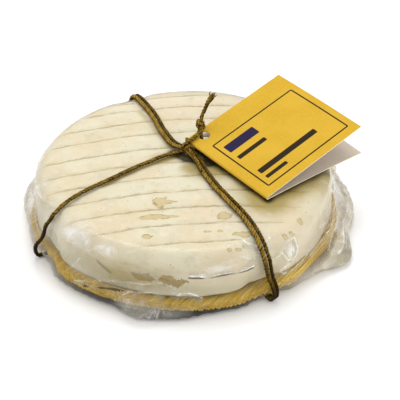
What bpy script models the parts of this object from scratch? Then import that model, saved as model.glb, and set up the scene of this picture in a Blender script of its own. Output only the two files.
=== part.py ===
"""A round, ridged, soft goat cheese on its straw mat, in clear film, tied crosswise with waxed twine
that carries a folded card tag. Metres, +Z up, the film's flat underside on Z = 0."""

import math
import random

import bmesh
import bpy
from mathutils import Matrix, Vector

MM = 0.001
GAP = 0.3 * MM
TURN = 2 * math.pi

# The cheese
AXIS = Vector((0.3, -2.5, 0)) * MM
CHEESE_RADIUS = 63.2 * MM
CHEESE_TOP = 28.5 * MM
TOP_DROP = 1.2 * MM
RIM_ROUND = 5.5 * MM
CHEESE_SEGMENTS = 88

# The drainage grooves pressed into its top, one entry for each: its distance along Y from the knot's line
GROOVES = [y * MM for y in (53.0, 43.0, 32.0, 21.6, 9.8, -1.6, -12.2, -22.7, -33.6, -44.3, -55.6)]
GROOVE_DEPTH = 0.9 * MM
GROOVE_SLOPE = 0.09
GROOVE_BEND = 1.9
ROW_PLACES = (0.0, 0.17, 0.5, 0.83)
RIDGE_POWER = 0.45

# The mat, a shallow dish of straws laid side by side
MAT_RADIUS = 66.0 * MM
MAT_THICKNESS = 3.6 * MM
RIM_LIFT = 2.1 * MM
STRAW_ANGLE = math.radians(55)
STRAW_PITCH = 3.1 * MM
STRAW_RADIUS = 1.65 * MM
STRAW_SIDES = 6
STUB_LENGTH = 7 * MM
WHOLE_STRAWS_FROM = 54 * MM
MAT_SEGMENTS = 64

# The film, as far up the side as it stands away from the cheese
FILM_WALL = 0.45 * MM
FILM_TOP = 20.5 * MM
FILM_SEGMENTS = 76
# Each fold of the film's skirt: where it points, how far it reaches out and its half width
SKIRT_FOLDS = [
    (math.radians(17), 7.6 * MM, math.radians(14)),
    (math.radians(-5), 3.6 * MM, math.radians(12)),
    (math.radians(-25), 9.6 * MM, math.radians(6.5)),
    (math.radians(-34), 3.0 * MM, math.radians(7)),
    (math.radians(42), 3.2 * MM, math.radians(7)),
    (math.radians(72), 2.6 * MM, math.radians(9)),
    (math.radians(95), 3.4 * MM, math.radians(6)),
    (math.radians(141), 2.8 * MM, math.radians(8)),
    (math.radians(170), 4.2 * MM, math.radians(9)),
    (math.radians(-95), 3.0 * MM, math.radians(15)),
]
GATHER_ANGLE = math.radians(-107)
GATHER_REACH = 2.6 * MM
GATHER_WIDTH = math.radians(5)
CRINKLE = 0.5 * MM
CRINKLE_COUNT = 23

# The twine
TWINE_RADIUS = 1.0 * MM
STRAND_OFFSET = 1.08 * MM
PINCH = 1.3 * MM
PINCH_AT_FOOT = 2.9 * MM
PINCH_FROM = 14 * MM
PINCH_WIDTH = math.radians(12)
PINCH_FLAT = 1.6
# Where each run of twine crosses the top rim and the foot, seen from the axis. Below SLANT_FROM it is upright
RUN_A_FRONT = (math.radians(-62.2), math.radians(-58.8))
RUN_A_BACK = (math.radians(112), math.radians(116))
RUN_B_LEFT = (math.radians(213), math.radians(204.5))
RUN_B_RIGHT = (math.radians(30), math.radians(32))
SLANT_FROM = 4.5 * MM
UNDER_HEIGHT = 1.02 * MM
KNOT = Vector((1.3, 4.6, 30.9)) * MM

# The tag, a card folded along the edge that runs from its near left corner to its front corner
CARD_CORNER = Vector((1.3, 7.7, 33.0)) * MM
CARD_FAR = Vector((43.0, 41.9, 44.6)) * MM
CARD_FRONT = Vector((33.6, -30.8, 30.0)) * MM
CARD_DEPTH = 55.2 * MM
LOWER_LEAF_EXTRA = 1.2 * MM
CARD_WIDTH = 50.4 * MM
CARD_WALL = 0.45 * MM
FOLD_RADIUS = 0.55 * MM
LEAF_ANGLE = math.radians(13.0)
CORNER_DROOP = 1.8 * MM
DROOP_FROM = 0.45
HOLE_RADIUS = 2.5 * MM
HOLE_PLACE = (6.9 * MM, 4.0 * MM)

COLOURS = {
    "cheese": (0.82, 0.74, 0.58, 1.0),
    "straw_mat": (0.52, 0.34, 0.10, 1.0),
    "film": (0.85, 0.86, 0.84, 0.25),
    "twine": (0.13, 0.07, 0.02, 1.0),
    "tag": (0.78, 0.46, 0.07, 1.0),
}
ROUGHNESS = {"cheese": 0.7, "straw_mat": 0.6, "film": 0.12, "twine": 0.75, "tag": 0.6}


# Helpers


def clear_scene():
    for obj in list(bpy.data.objects):
        bpy.data.objects.remove(obj)


def collection(name):
    made = bpy.data.collections.new(name)
    bpy.context.scene.collection.children.link(made)
    return made


def add_object(name, mesh, into):
    obj = bpy.data.objects.new(name, mesh)
    into.objects.link(obj)
    return obj


def to_object(name, shape, into):
    """Turns a bmesh into an object of that name."""
    mesh = bpy.data.meshes.new(name)
    shape.to_mesh(mesh)
    shape.free()
    return add_object(name, mesh, into)


def bake(obj):
    """Applies the object's modifiers."""
    graph = bpy.context.evaluated_depsgraph_get()
    mesh = bpy.data.meshes.new_from_object(obj.evaluated_get(graph))
    obj.modifiers.clear()
    obj.data = mesh


def drop(*objects):
    for obj in objects:
        bpy.data.objects.remove(obj)


def boolean(obj, operation, other):
    """Cuts, joins or intersects obj with an object, or with all that a collection holds, and removes them."""
    step = obj.modifiers.new(operation.lower(), "BOOLEAN")
    step.operation = operation
    step.solver = "EXACT"
    if isinstance(other, bpy.types.Collection):
        step.operand_type = "COLLECTION"
        step.collection = other
        bake(obj)
        drop(*other.objects)
        bpy.data.collections.remove(other)
    else:
        step.object = other
        bake(obj)
        drop(other)


def turned(name, profile, segments, into):
    """A solid turned about Z from (radius, height) points that run down its outer side."""
    shape = bmesh.new()
    points = [shape.verts.new((radius, 0, height)) for radius, height in profile]
    for a, b in zip(points, points[1:]):
        shape.edges.new((a, b))
    obj = to_object(name, shape, into)
    screw = obj.modifiers.new("turn", "SCREW")
    screw.steps = screw.render_steps = segments
    screw.use_merge_vertices = True
    screw.merge_threshold = 0.00001
    bake(obj)
    return obj


def out_of_round(obj, push):
    """Moves each point away from the axis by push(angle, height), in full outside half the cheese's radius,
    and then puts the axis where the cheese stands."""
    for vertex in obj.data.vertices:
        radius = math.hypot(vertex.co.x, vertex.co.y)
        if radius > 0:
            angle = math.atan2(vertex.co.y, vertex.co.x)
            share = min(1.0, 2 * radius / CHEESE_RADIUS)
            wider = 1 + share * push(angle, vertex.co.z) / radius
            vertex.co.x *= wider
            vertex.co.y *= wider
    obj.data.transform(Matrix.Translation(AXIS))


def hill(value, half_width):
    """1 at 0, falling smoothly to 0 at half_width."""
    if abs(value) >= half_width:
        return 0.0
    return 0.5 + 0.5 * math.cos(math.pi * value / half_width)


def turn_between(a, b):
    return (a - b + math.pi) % TURN - math.pi


def near_twine(angle):
    """1 where a run of twine comes down the side, 0 away from it."""
    arms = (RUN_A_FRONT, RUN_A_BACK, RUN_B_LEFT, RUN_B_RIGHT)
    return min(1.0, PINCH_FLAT * max(hill(turn_between(angle, sum(arm) / 2), PINCH_WIDTH) for arm in arms))


def unevenness(angle):
    """How far the soft disc's outline is off round."""
    waves = 0.5 * math.cos(2 * (angle - 0.6)) + 0.45 * math.cos(3 * (angle + 0.9)) + 0.3 * math.cos(5 * angle)
    return waves * MM


def pinch(height):
    """How far the tight twine draws everything in, most at the foot."""
    return PINCH + (PINCH_AT_FOOT - PINCH) * max(0.0, 1 - height / PINCH_FROM)


def pinched(angle, height):
    """How far the cheese and the mat are pushed out of round."""
    return unevenness(angle) - pinch(height) * near_twine(angle)


# The cheese


def crest(x, y):
    """Height of the ridges' tops over a place on the cheese."""
    reach = math.hypot(x - AXIS.x, y - AXIS.y) / CHEESE_RADIUS
    return CHEESE_TOP - TOP_DROP * reach * reach


def groove_bow(x):
    """How far along Y every groove has moved at x, since they bow towards the back."""
    return GROOVE_SLOPE * x - GROOVE_BEND * x * x


def grooved_slab(into):
    """A slab whose top has the grooves and the soft ridges between them."""
    reach = 76 * MM
    edges = [GROOVES[0] + 26 * MM] + GROOVES + [GROOVES[-1] - 26 * MM]
    rows = []
    for near, far in zip(edges, edges[1:]):
        for place in ROW_PLACES:
            ridge = math.sin(math.pi * place) ** RIDGE_POWER
            rows.append((near + (far - near) * place, (ridge - 1) * GROOVE_DEPTH))
    columns = 15
    shape = bmesh.new()
    bmesh.ops.create_grid(shape, x_segments=columns - 1, y_segments=len(rows) - 1, size=1)
    for vertex in shape.verts:
        column = round((vertex.co.x + 1) / 2 * (columns - 1))
        y, sunk = rows[round((1 - vertex.co.y) / 2 * (len(rows) - 1))]
        x = (2 * column / (columns - 1) - 1) * reach
        y += groove_bow(x)
        vertex.co = Vector((x, y, crest(x, y) + sunk))
    top = bmesh.ops.extrude_face_region(shape, geom=shape.faces[:])["geom"]
    for item in top:
        if isinstance(item, bmesh.types.BMVert):
            item.co.z = 0
    bmesh.ops.recalc_face_normals(shape, faces=shape.faces)
    return to_object("grooved_slab", shape, into)


def make_cheese(part, cutters):
    foot = mat_top(CHEESE_RADIUS - 3 * MM) + GAP
    side = CHEESE_RADIUS
    profile = [
        (0, CHEESE_TOP + 3 * MM),
        (side - 1.6 * RIM_ROUND, CHEESE_TOP + 1.5 * MM),
        (side - 0.85 * RIM_ROUND, CHEESE_TOP - 1.3 * MM),
        (side - 0.38 * RIM_ROUND, CHEESE_TOP - 3.2 * MM),
        (side - 0.08 * RIM_ROUND, CHEESE_TOP - 6.2 * MM),
        (side, CHEESE_TOP - 12 * MM),
        (side - 0.4 * MM, foot + 3 * MM),
        (side - 1.6 * MM, foot + 0.9 * MM),
        (side - 4 * MM, mat_top(side - 4 * MM) + GAP),
        (side - 12 * MM, mat_top(side - 12 * MM) + GAP),
        (side - 24 * MM, mat_top(side - 24 * MM) + GAP),
        (0, mat_top(0) + GAP),
    ]
    cheese = turned("cheese", profile, CHEESE_SEGMENTS, part)
    out_of_round(cheese, pinched)
    boolean(cheese, "INTERSECT", grooved_slab(cutters))
    return cheese


# The straw mat


def mat_bottom(radius):
    """The mat lies flat on the film and curls up towards its rim."""
    return FILM_WALL + GAP + RIM_LIFT * (radius / MAT_RADIUS) ** 4


def mat_top(radius):
    return mat_bottom(radius) + MAT_THICKNESS


def straw(start, end, number, into):
    """One straw from start to end, a cylinder with few sides."""
    run = end - start
    shape = bmesh.new()
    bmesh.ops.create_cone(
        shape,
        cap_ends=True,
        segments=STRAW_SIDES,
        radius1=STRAW_RADIUS,
        radius2=STRAW_RADIUS,
        depth=run.length,
        matrix=Matrix.Translation((start + end) / 2) @ run.to_track_quat("Z", "X").to_matrix().to_4x4(),
    )
    return to_object(f"straw_{number}", shape, into)


def place_in_mat(along, across, level_at=None):
    """A point half way up the mat, with the height that the mat has there or at another radius."""
    height = mat_bottom(level_at or math.hypot(along, across)) + MAT_THICKNESS / 2
    flat = Vector((along, across, 0))
    flat.rotate(Matrix.Rotation(STRAW_ANGLE, 3, "Z"))
    return flat + AXIS + Vector((0, 0, height))


def make_mat(part):
    core_radius = MAT_RADIUS - 2.4 * MM
    radii = [core_radius, core_radius - 10 * MM, core_radius - 24 * MM]
    profile = [(0, mat_top(0))]
    profile += [(radius, mat_top(radius)) for radius in reversed(radii)]
    profile += [(radius, mat_bottom(radius)) for radius in radii]
    profile += [(0, mat_bottom(0))]
    mat = turned("straw_mat", profile, MAT_SEGMENTS, part)
    out_of_round(mat, pinched)
    straws = collection("straws")
    draw = random.Random(7)
    rows = int(2 * (MAT_RADIUS - STRAW_RADIUS) / STRAW_PITCH)
    half_turn = 1.5 * STRAW_RADIUS / MAT_RADIUS
    for row in range(rows + 1):
        across = (row - rows / 2) * STRAW_PITCH + draw.uniform(-0.08, 0.08) * MM
        chord = math.sqrt(MAT_RADIUS**2 - (abs(across) + 0.7 * STRAW_RADIUS) ** 2)
        ends = []
        for way in (-1, 1):
            angle = math.atan2(across, way * chord) + STRAW_ANGLE
            push = min(pinched(angle + turn, 0) for turn in (-half_turn, 0, half_turn))
            ends.append(way * (chord + push + draw.uniform(-0.9, 0.4) * MM))
        if abs(across) > WHOLE_STRAWS_FROM:
            start, end = (place_in_mat(end, across, abs(across)) for end in ends)
            straw(start, end, row, straws)
            continue
        for way, end in zip((-1, 1), ends):
            inner = place_in_mat(end - way * STUB_LENGTH, across)
            straw(inner, place_in_mat(end, across), f"{row}_{way}", straws)
    boolean(mat, "UNION", straws)
    return mat


# The film


def film_push(angle, height):
    """The film's folds: a skirt at the table and crinkles up the side, with none under the twine."""
    low = max(0.0, 1 - height / FILM_TOP)
    skirt = sum(reach * hill(turn_between(angle, at), 2 * width) for at, reach, width in SKIRT_FOLDS)
    gather = GATHER_REACH * hill(turn_between(angle, GATHER_ANGLE), 2 * GATHER_WIDTH)
    wave = math.cos(CRINKLE_COUNT * angle + 1.7 * math.sin(3 * angle)) + math.cos(CRINKLE_COUNT * 1.6 * angle)
    crinkle = CRINKLE * (2 + wave) / 2 * min(1.0, 4 * low)
    free = 1 - near_twine(angle)
    folds = skirt * low**1.4 + gather * min(1.0, 2.2 * low) + crinkle
    return pinched(angle, height) + free * folds


def film_side():
    """The film's outer face where it is smooth, as (radius, height) from its top edge down to the table."""
    side = CHEESE_RADIUS + 0.9 * MM
    foot = MAT_RADIUS + 2.5 * MM
    return [
        (side, FILM_TOP),
        (side + 0.3 * MM, 16 * MM),
        (side + 1.3 * MM, 12 * MM),
        (foot - 0.5 * MM, 7.6 * MM),
        (foot, 4.6 * MM),
        (foot, 2.4 * MM),
        (foot + 0.4 * MM, 0.8 * MM),
        (foot + 0.1 * MM, 0),
    ]


def film_envelope(name, wall, top, into):
    """The space inside the film's outer face, or inside its inner face where wall is the film's thickness."""
    side = [(radius - wall, max(height, wall)) for radius, height in film_side()]
    profile = [(0, top), (side[0][0], top)] + side[top == FILM_TOP :] + [(0, wall)]
    envelope = turned(name, profile, FILM_SEGMENTS, into)
    out_of_round(envelope, film_push)
    return envelope


def make_film(part, cutters):
    """The film has a fold that takes each run of twine where it crosses the underside."""
    film = film_envelope("film", 0, FILM_TOP, part)
    cut_channels(film, GAP, cutters)
    hollow = film_envelope("hollow", FILM_WALL, CHEESE_TOP + 6 * MM, cutters)
    cut_channels(hollow, GAP + FILM_WALL, cutters)
    boolean(film, "DIFFERENCE", hollow)
    return film


# The twine


def over_top(x, y):
    """A point of the twine's middle line where it lies on the ridges."""
    return Vector((x, y, crest(x, y) + TWINE_RADIUS + GAP))


def down_side(arm):
    """The twine's middle line from the rim to the underside, a gap away from the film."""
    away = TWINE_RADIUS + 2.5 * GAP
    side, foot = film_side()[0][0], film_side()[4][0]
    steps = [(side - 3.1 * MM, CHEESE_TOP - 1.5 * MM), (side - 1.5 * MM, CHEESE_TOP - 5.0 * MM)]
    steps += film_side()[0:3] + [(foot - 0.4 * MM, 7.8 * MM), (foot, 3.6 * MM)]
    steps += [(foot - 0.5 * MM, 1.7 * MM), (foot - 2.0 * MM, UNDER_HEIGHT)]
    middle = []
    for radius, height in steps:
        angle = arm[1] + (arm[0] - arm[1]) * max(0.0, height - SLANT_FROM) / (CHEESE_TOP - SLANT_FROM)
        reach = radius + away + unevenness(angle) - pinch(height)
        middle.append(AXIS + Vector((math.cos(angle) * reach, math.sin(angle) * reach, height)))
    return middle


def run_a():
    """The doubled run, from the knot towards the camera, under the pack and back over its far rim."""
    front_places = ((5.6, -1.4), (8.6, -10.6), (12.7, -21.8), (17.6, -31.9), (23.0, -42.5), (26.8, -51.6))
    back_places = ((-20.9, 50.0), (-17.4, 43.5), (-12.6, 32.6), (-8.6, 20.8), (-4.0, 10.2))
    front, back = ([over_top(x * MM, y * MM) for x, y in places] for places in (front_places, back_places))
    return front + down_side(RUN_A_FRONT) + down_side(RUN_A_BACK)[::-1] + back + [KNOT]


def run_b():
    """The single run, from under the knot to the left, below the pack and back from the right."""
    left_places = ((-8.4, 0.5), (-20.8, -8.0), (-31.1, -16.1), (-41.2, -23.9), (-47.4, -30.3))
    right_places = ((50.2, 27.0), (44.0, 24.0), (28.0, 15.2), (13.0, 7.6))
    left, right = ([over_top(x * MM, y * MM) for x, y in places] for places in (left_places, right_places))
    return left + down_side(RUN_B_LEFT) + down_side(RUN_B_RIGHT)[::-1] + right + [over_top(KNOT.x, KNOT.y)]


def smooth(points, pieces):
    """Points along a Catmull-Rom curve through the given ones."""
    line = []
    for i in range(len(points) - 1):
        p = [points[min(max(i + k, 0), len(points) - 1)] for k in (-1, 0, 1, 2)]
        for t in [step / pieces for step in range(pieces)]:
            bend = 2 * p[0] - 5 * p[1] + 4 * p[2] - p[3]
            turn = 3 * p[1] - p[0] - 3 * p[2] + p[3]
            line.append(0.5 * (2 * p[1] + (p[2] - p[0]) * t + bend * t**2 + turn * t**3))
    return line + [points[-1]]


def beside(line, offset):
    """The doubled run's line moved sideways, level with the ground and square to the run."""
    run = down_side(RUN_A_BACK)[-1] - down_side(RUN_A_FRONT)[-1]
    side = Vector((-run.y, run.x, 0)).normalized()
    return [point + side * offset for point in line]


def tube(name, line, radius, closed, into):
    """A tube along a line, made a mesh with its caps welded."""
    curve = bpy.data.curves.new(name, "CURVE")
    curve.dimensions = "3D"
    curve.bevel_depth = radius
    curve.bevel_resolution = 2
    curve.use_fill_caps = True
    spline = curve.splines.new("POLY")
    spline.points.add(len(line) - 1)
    for place, point in zip(spline.points, line):
        place.co = (*point, 1)
    spline.use_cyclic_u = closed
    guide = add_object(name + "_line", curve, into)
    graph = bpy.context.evaluated_depsgraph_get()
    mesh = bpy.data.meshes.new_from_object(guide.evaluated_get(graph))
    drop(guide)
    shape = bmesh.new()
    shape.from_mesh(mesh)
    bmesh.ops.remove_doubles(shape, verts=shape.verts, dist=0.00001)
    bmesh.ops.recalc_face_normals(shape, faces=shape.faces)
    return to_object(name, shape, into)


def cut_channels(obj, clearance, cutters):
    """Cuts a straight channel across the underside for each run of twine."""
    runs = ((RUN_A_FRONT, RUN_A_BACK, STRAND_OFFSET), (RUN_B_LEFT, RUN_B_RIGHT, 0))
    for start, end, offset in runs:
        first, last = down_side(start)[-1], down_side(end)[-1]
        run = last - first
        channel = bmesh.new()
        bmesh.ops.create_cube(channel, size=2)
        half_width = offset + TWINE_RADIUS + clearance
        half_length = run.length / 2 + 8 * MM
        height = UNDER_HEIGHT + TWINE_RADIUS + clearance
        bmesh.ops.scale(channel, verts=channel.verts, vec=(half_length, half_width, height))
        place = Matrix.Translation((first.x / 2 + last.x / 2, first.y / 2 + last.y / 2, 0))
        channel.transform(place @ Matrix.Rotation(math.atan2(run.y, run.x), 4, "Z"))
        boolean(obj, "DIFFERENCE", to_object("channel", channel, cutters))


def ring(name, centre, facing, radius, thickness, into):
    """One turn of twine, as in a knot."""
    bpy.ops.mesh.primitive_torus_add(
        major_segments=10, minor_segments=6, major_radius=radius, minor_radius=thickness, location=centre
    )
    obj = bpy.context.object
    obj.name = name
    obj.data.transform(facing.to_track_quat("Z", "X").to_matrix().to_4x4())
    obj.data.transform(Matrix.Translation(centre))
    obj.location = (0, 0, 0)
    for holder in list(obj.users_collection):
        holder.objects.unlink(obj)
    into.objects.link(obj)
    return obj


def on_card(along, across, above):
    """A point from its place on the card: along its depth, along its fold, and above its upper face."""
    deep, wide, normal = card_axes()
    return CARD_CORNER + deep * along * MM + wide * across * MM + normal * above * MM


def make_twine(part):
    twine = tube("twine", beside(run_a(), STRAND_OFFSET), TWINE_RADIUS, True, part)
    others = collection("strands")
    tube("strand", beside(run_a(), -STRAND_OFFSET), TWINE_RADIUS, True, others)
    tube("single", run_b(), TWINE_RADIUS, True, others)
    run = (run_a()[0] - KNOT).normalized()
    run.z = 0
    knot = KNOT + Vector((0, 0, 0.6 * MM))
    back_turn = knot - run * 0.6 * MM - Vector((0.3, 0.2, 0)) * MM
    ring("turn_back", back_turn, run + Vector((0.2, 0.1, 0.15)), 1.2 * MM, 0.8 * MM, others)
    ring("turn_middle", knot + run * 2.2 * MM, run + Vector((-0.5, 0.2, 0.1)), 1.4 * MM, 0.8 * MM, others)
    cut_end = [knot + Vector((0.2, -0.6, 0.5)) * MM]
    cut_end += [Vector(place) * MM for place in ((3.4, 0.2, 31.5), (5.3, -5.0, 31.2), (7.9, -12.7, 30.5))]
    tube("cut_end", smooth(cut_end, 2), TWINE_RADIUS * 0.8, False, others)
    bead = on_card(8.4, 0.4, 2.7)
    lace = [
        knot + Vector((-0.4, 0.2, 0.8)) * MM,
        on_card(-1.9, 2.6, 1.2),
        on_card(-0.2, 2.9, 1.6),
        on_card(2.4, 2.8, 1.5),
        on_card(5.2, 2.3, 1.6),
        bead,
        on_card(7.8, 2.6, 2.6),
        on_card(6.6, 4.0, 0.8),
        on_card(6.5, 4.2, -1.8),
        on_card(5.4, 5.0, -3.9),
        on_card(2.6, 5.6, -3.7),
        knot + Vector((1.4, -1.0, -0.6)) * MM,
    ]
    tube("lace", smooth(lace, 2), TWINE_RADIUS * 0.9, False, others)
    ring("bead_turn", bead, Vector((0.3, -0.4, 1)), 1.1 * MM, 1.0 * MM, others)
    ring("bead_cross", bead + Vector((0, 0, 0.6)) * MM, Vector((1, -0.6, 0.2)), 1.2 * MM, 0.8 * MM, others)
    tail_places = ((7.9, 13.6, 40.6), (9.1, 14.8, 43.2), (10.5, 15.0, 46.8), (12.5, 15.2, 50.2))
    tail = [bead] + [Vector(place) * MM for place in tail_places]
    tube("tail", smooth(tail, 2), TWINE_RADIUS * 0.95, False, others)
    fray = tail[-1] - tail[-2]
    shape = bmesh.new()
    bmesh.ops.create_cone(
        shape,
        cap_ends=True,
        segments=8,
        radius1=0.9 * MM,
        radius2=1.7 * MM,
        depth=3.2 * MM,
        matrix=Matrix.Translation(tail[-1] + fray.normalized() * 0.8 * MM)
        @ fray.to_track_quat("Z", "X").to_matrix().to_4x4(),
    )
    to_object("fray", shape, others)
    boolean(twine, "UNION", others)
    return twine


# The tag


def card_axes():
    """The card's depth, its fold and the normal of its upper leaf, as unit vectors."""
    deep = (CARD_FAR - CARD_CORNER).normalized()
    wide = CARD_FRONT - CARD_CORNER
    wide = (wide - deep * wide.dot(deep)).normalized()
    return deep, wide, wide.cross(deep)


def make_tag(part, cutters):
    deep, wide, normal = card_axes()
    lower = deep * math.cos(LEAF_ANGLE) - normal * math.sin(LEAF_ANGLE)
    middle = CARD_CORNER + deep * FOLD_RADIUS - normal * FOLD_RADIUS
    upper = middle + normal * FOLD_RADIUS
    section = [upper + deep * (CARD_DEPTH - FOLD_RADIUS) * share for share in (1, 0.5, 0)]
    sweep = math.pi - LEAF_ANGLE
    for step in range(1, 6):
        angle = sweep * step / 5
        section.append(middle + (normal * math.cos(angle) - deep * math.sin(angle)) * FOLD_RADIUS)
    lower_depth = CARD_DEPTH + LOWER_LEAF_EXTRA - FOLD_RADIUS
    lower_shares = (0.25, 0.5, 0.75, 1)
    droops = [0] * len(section) + [CORNER_DROOP * share**2 for share in lower_shares]
    section += [section[-1] + lower * lower_depth * share for share in lower_shares]
    shape = bmesh.new()
    rows = []
    for place, drooping in ((0, 0), (DROOP_FROM, 0), (1, 1)):
        along = wide * CARD_WIDTH * place
        places = [point + along - normal * droop * drooping for point, droop in zip(section, droops)]
        rows.append([shape.verts.new(point) for point in places])
    for back, front in zip(rows, rows[1:]):
        for corners in zip(back, back[1:], front[1:], front):
            shape.faces.new(corners)
    bmesh.ops.recalc_face_normals(shape, faces=shape.faces)
    tag = to_object("tag", shape, part)
    wall = tag.modifiers.new("card", "SOLIDIFY")
    wall.thickness = CARD_WALL
    wall.offset = 0
    bake(tag)
    hole = bmesh.new()
    centre = CARD_CORNER + deep * HOLE_PLACE[0] + wide * HOLE_PLACE[1]
    bmesh.ops.create_cone(
        hole,
        cap_ends=True,
        segments=20,
        radius1=HOLE_RADIUS,
        radius2=HOLE_RADIUS,
        depth=12 * MM,
        matrix=Matrix.Translation(centre) @ normal.to_track_quat("Z", "X").to_matrix().to_4x4(),
    )
    boolean(tag, "DIFFERENCE", to_object("hole", hole, cutters))
    return tag


# Finishes and place


def give_material(obj):
    material = bpy.data.materials.new(obj.name)
    material.use_nodes = True
    shader = material.node_tree.nodes["Principled BSDF"]
    shader.inputs["Base Color"].default_value = (*COLOURS[obj.name][:3], 1)
    shader.inputs["Alpha"].default_value = COLOURS[obj.name][3]
    shader.inputs["Roughness"].default_value = ROUGHNESS[obj.name]
    shader.inputs["Metallic"].default_value = 0
    obj.data.materials.clear()
    obj.data.materials.append(material)


def stand_on_origin(objects):
    """Moves everything so that the origin is under the middle of the whole outline."""
    points = [vertex.co for obj in objects for vertex in obj.data.vertices]
    low = [min(point[i] for point in points) for i in range(3)]
    high = [max(point[i] for point in points) for i in range(3)]
    shift = Vector((-(low[0] + high[0]) / 2, -(low[1] + high[1]) / 2, -low[2]))
    for obj in objects:
        obj.data.transform(Matrix.Translation(shift))


def main():
    clear_scene()
    part = collection("wrapped_cheese")
    cutters = collection("cutters")
    cheese = make_cheese(part, cutters)
    mat = make_mat(part)
    cut_channels(mat, 2 * GAP + FILM_WALL, cutters)
    film = make_film(part, cutters)
    twine = make_twine(part)
    tag = make_tag(part, cutters)
    pieces = [cheese, mat, film, twine, tag]
    stand_on_origin(pieces)
    for piece in pieces:
        give_material(piece)
    for piece in (cheese, mat, twine):
        piece.data.shade_smooth()
        piece.data.set_sharp_from_angle(angle=math.radians(40))
    bpy.data.collections.remove(cutters)


main()
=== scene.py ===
"""The looks of a round, ridged, soft goat cheese on its straw mat, in clear film, tied crosswise with waxed
twine that carries a folded card tag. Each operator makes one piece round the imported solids, in metres."""

import math
import random

import bmesh
import bpy
import numpy as np
from bpy.props import FloatProperty, FloatVectorProperty, IntProperty, PointerProperty
from mathutils import Matrix, Vector, noise


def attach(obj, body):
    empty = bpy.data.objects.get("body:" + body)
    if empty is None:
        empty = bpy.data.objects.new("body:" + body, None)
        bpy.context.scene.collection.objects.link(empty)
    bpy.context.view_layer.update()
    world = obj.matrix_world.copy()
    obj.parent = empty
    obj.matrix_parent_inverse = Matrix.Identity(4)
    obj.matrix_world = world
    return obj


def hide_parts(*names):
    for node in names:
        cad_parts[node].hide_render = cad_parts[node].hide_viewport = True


bl_info = {
    "name": "Ridged cheese in film",
    "version": (1, 0, 0),
    "blender": (4, 5, 0),
    "location": "View3D > Sidebar > Cheese",
    "description": "Builds a wrapped, ridged soft cheese with its mat, film, twine and tag, and a plain stage",
    "category": "Object",
}

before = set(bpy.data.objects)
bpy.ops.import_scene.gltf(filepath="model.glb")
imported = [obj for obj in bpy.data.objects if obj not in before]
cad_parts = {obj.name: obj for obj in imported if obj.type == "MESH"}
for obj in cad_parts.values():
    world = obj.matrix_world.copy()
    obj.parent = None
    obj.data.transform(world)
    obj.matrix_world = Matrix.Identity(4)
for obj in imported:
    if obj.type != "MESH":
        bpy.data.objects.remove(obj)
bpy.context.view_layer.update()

MM = 0.001
TURN = 2 * math.pi
BODY = "root"

# The places below are measured from a point under the knot, and SHIFT takes them to the frame's origin
SHIFT = Vector((-2.341, 2.233, 0)) * MM


def spot(x, y, z=0.0):
    """A point from its place in mm beside the point under the knot."""
    return Vector((x, y, z)) * MM + SHIFT


AXIS = spot(0.3, -2.5)

# The cheese
CHEESE_RADIUS = 63.2 * MM
CHEESE_TOP = 28.5 * MM
TOP_DROP = 1.2 * MM
GROOVES = [y * MM for y in (53.0, 43.0, 32.0, 21.6, 9.8, -1.6, -12.2, -22.7, -33.6, -44.3, -55.6)]
# The grooves run askew and bend: the factors of x and of x squared, in metres
GROOVE_SLOPE = 0.09
GROOVE_BEND = 1.9
RIDGE_PITCH = 11 * MM

# The mat
MAT_RADIUS = 66.0 * MM
MAT_THICKNESS = 3.6 * MM
RIM_LIFT = 2.1 * MM
STRAW_ANGLE = math.radians(55)
# How much thicker the mat's edge is beyond the cheese at the front left, as a share of its thickness, with the
# place and half the width of that in degrees
SWELL = 0.62
SWELL_ANGLE = -132
SWELL_WIDTH = 36
SWELL_FROM = 60.5 * MM

# The film
FILM_WALL = 0.45 * MM
GAP = 0.3 * MM
FILM_FOOT = MAT_RADIUS + 2.5 * MM
# Each fold of the film's skirt: its place and half its width in degrees, and how far it reaches out in mm
SKIRT_FOLDS = [
    (17, 28, 6.3),
    (-6, 20, 6.2),
    (-25, 13, 9.6),
    (-34, 14, 3.0),
    (42, 14, 3.2),
    (72, 18, 2.6),
    (95, 12, 3.4),
    (141, 16, 2.8),
    (170, 18, 4.2),
    (-99, 20, 2.7),
    (-76, 16, -1.3),
    (-167, 14, -1.4),
]
GATHER_ANGLE = -107
GATHER_WIDTH = 10
GATHER_REACH = 1.8 * MM
# How far the film stands off the ridges, and its underside off the table
FILM_LIFT = 0.16 * MM
FILM_FLOOR = 0.06 * MM
# How far the small curled leaf of film beside the twine stands up
LEAF_LIFT = 1.0 * MM
# Noise on the film is read on a cylinder of this radius
NOISE_RADIUS = 64 * MM

# The twine
TWINE_RADIUS = 1.0 * MM
STRAND_OFFSET = 1.08 * MM
PINCH = 1.3 * MM
PINCH_AT_FOOT = 2.9 * MM
PINCH_FROM = 14 * MM
PINCH_WIDTH = math.radians(12)
PINCH_FLAT = 1.6
# Where each run of twine crosses the top rim and the foot, seen from the cheese's axis
RUN_A_FRONT = (math.radians(-62.2), math.radians(-58.8))
RUN_A_BACK = (math.radians(112), math.radians(116))
RUN_B_LEFT = (math.radians(213), math.radians(204.5))
RUN_B_RIGHT = (math.radians(30), math.radians(32))
ARMS = (RUN_A_FRONT, RUN_A_BACK, RUN_B_LEFT, RUN_B_RIGHT)
SLANT_FROM = 4.5 * MM
UNDER_HEIGHT = 1.02 * MM
TWINE_FLOOR = 0.04 * MM
PLIES = 3
FUZZ_COUNT = 420
FRAY_COUNT = 26
# The longest stretch between two of the places that a strand is led through
LONGEST_STRETCH = 14 * MM
KNOT_PLACE = (1.3, 4.6)
KNOT = spot(*KNOT_PLACE, 30.9)

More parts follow.
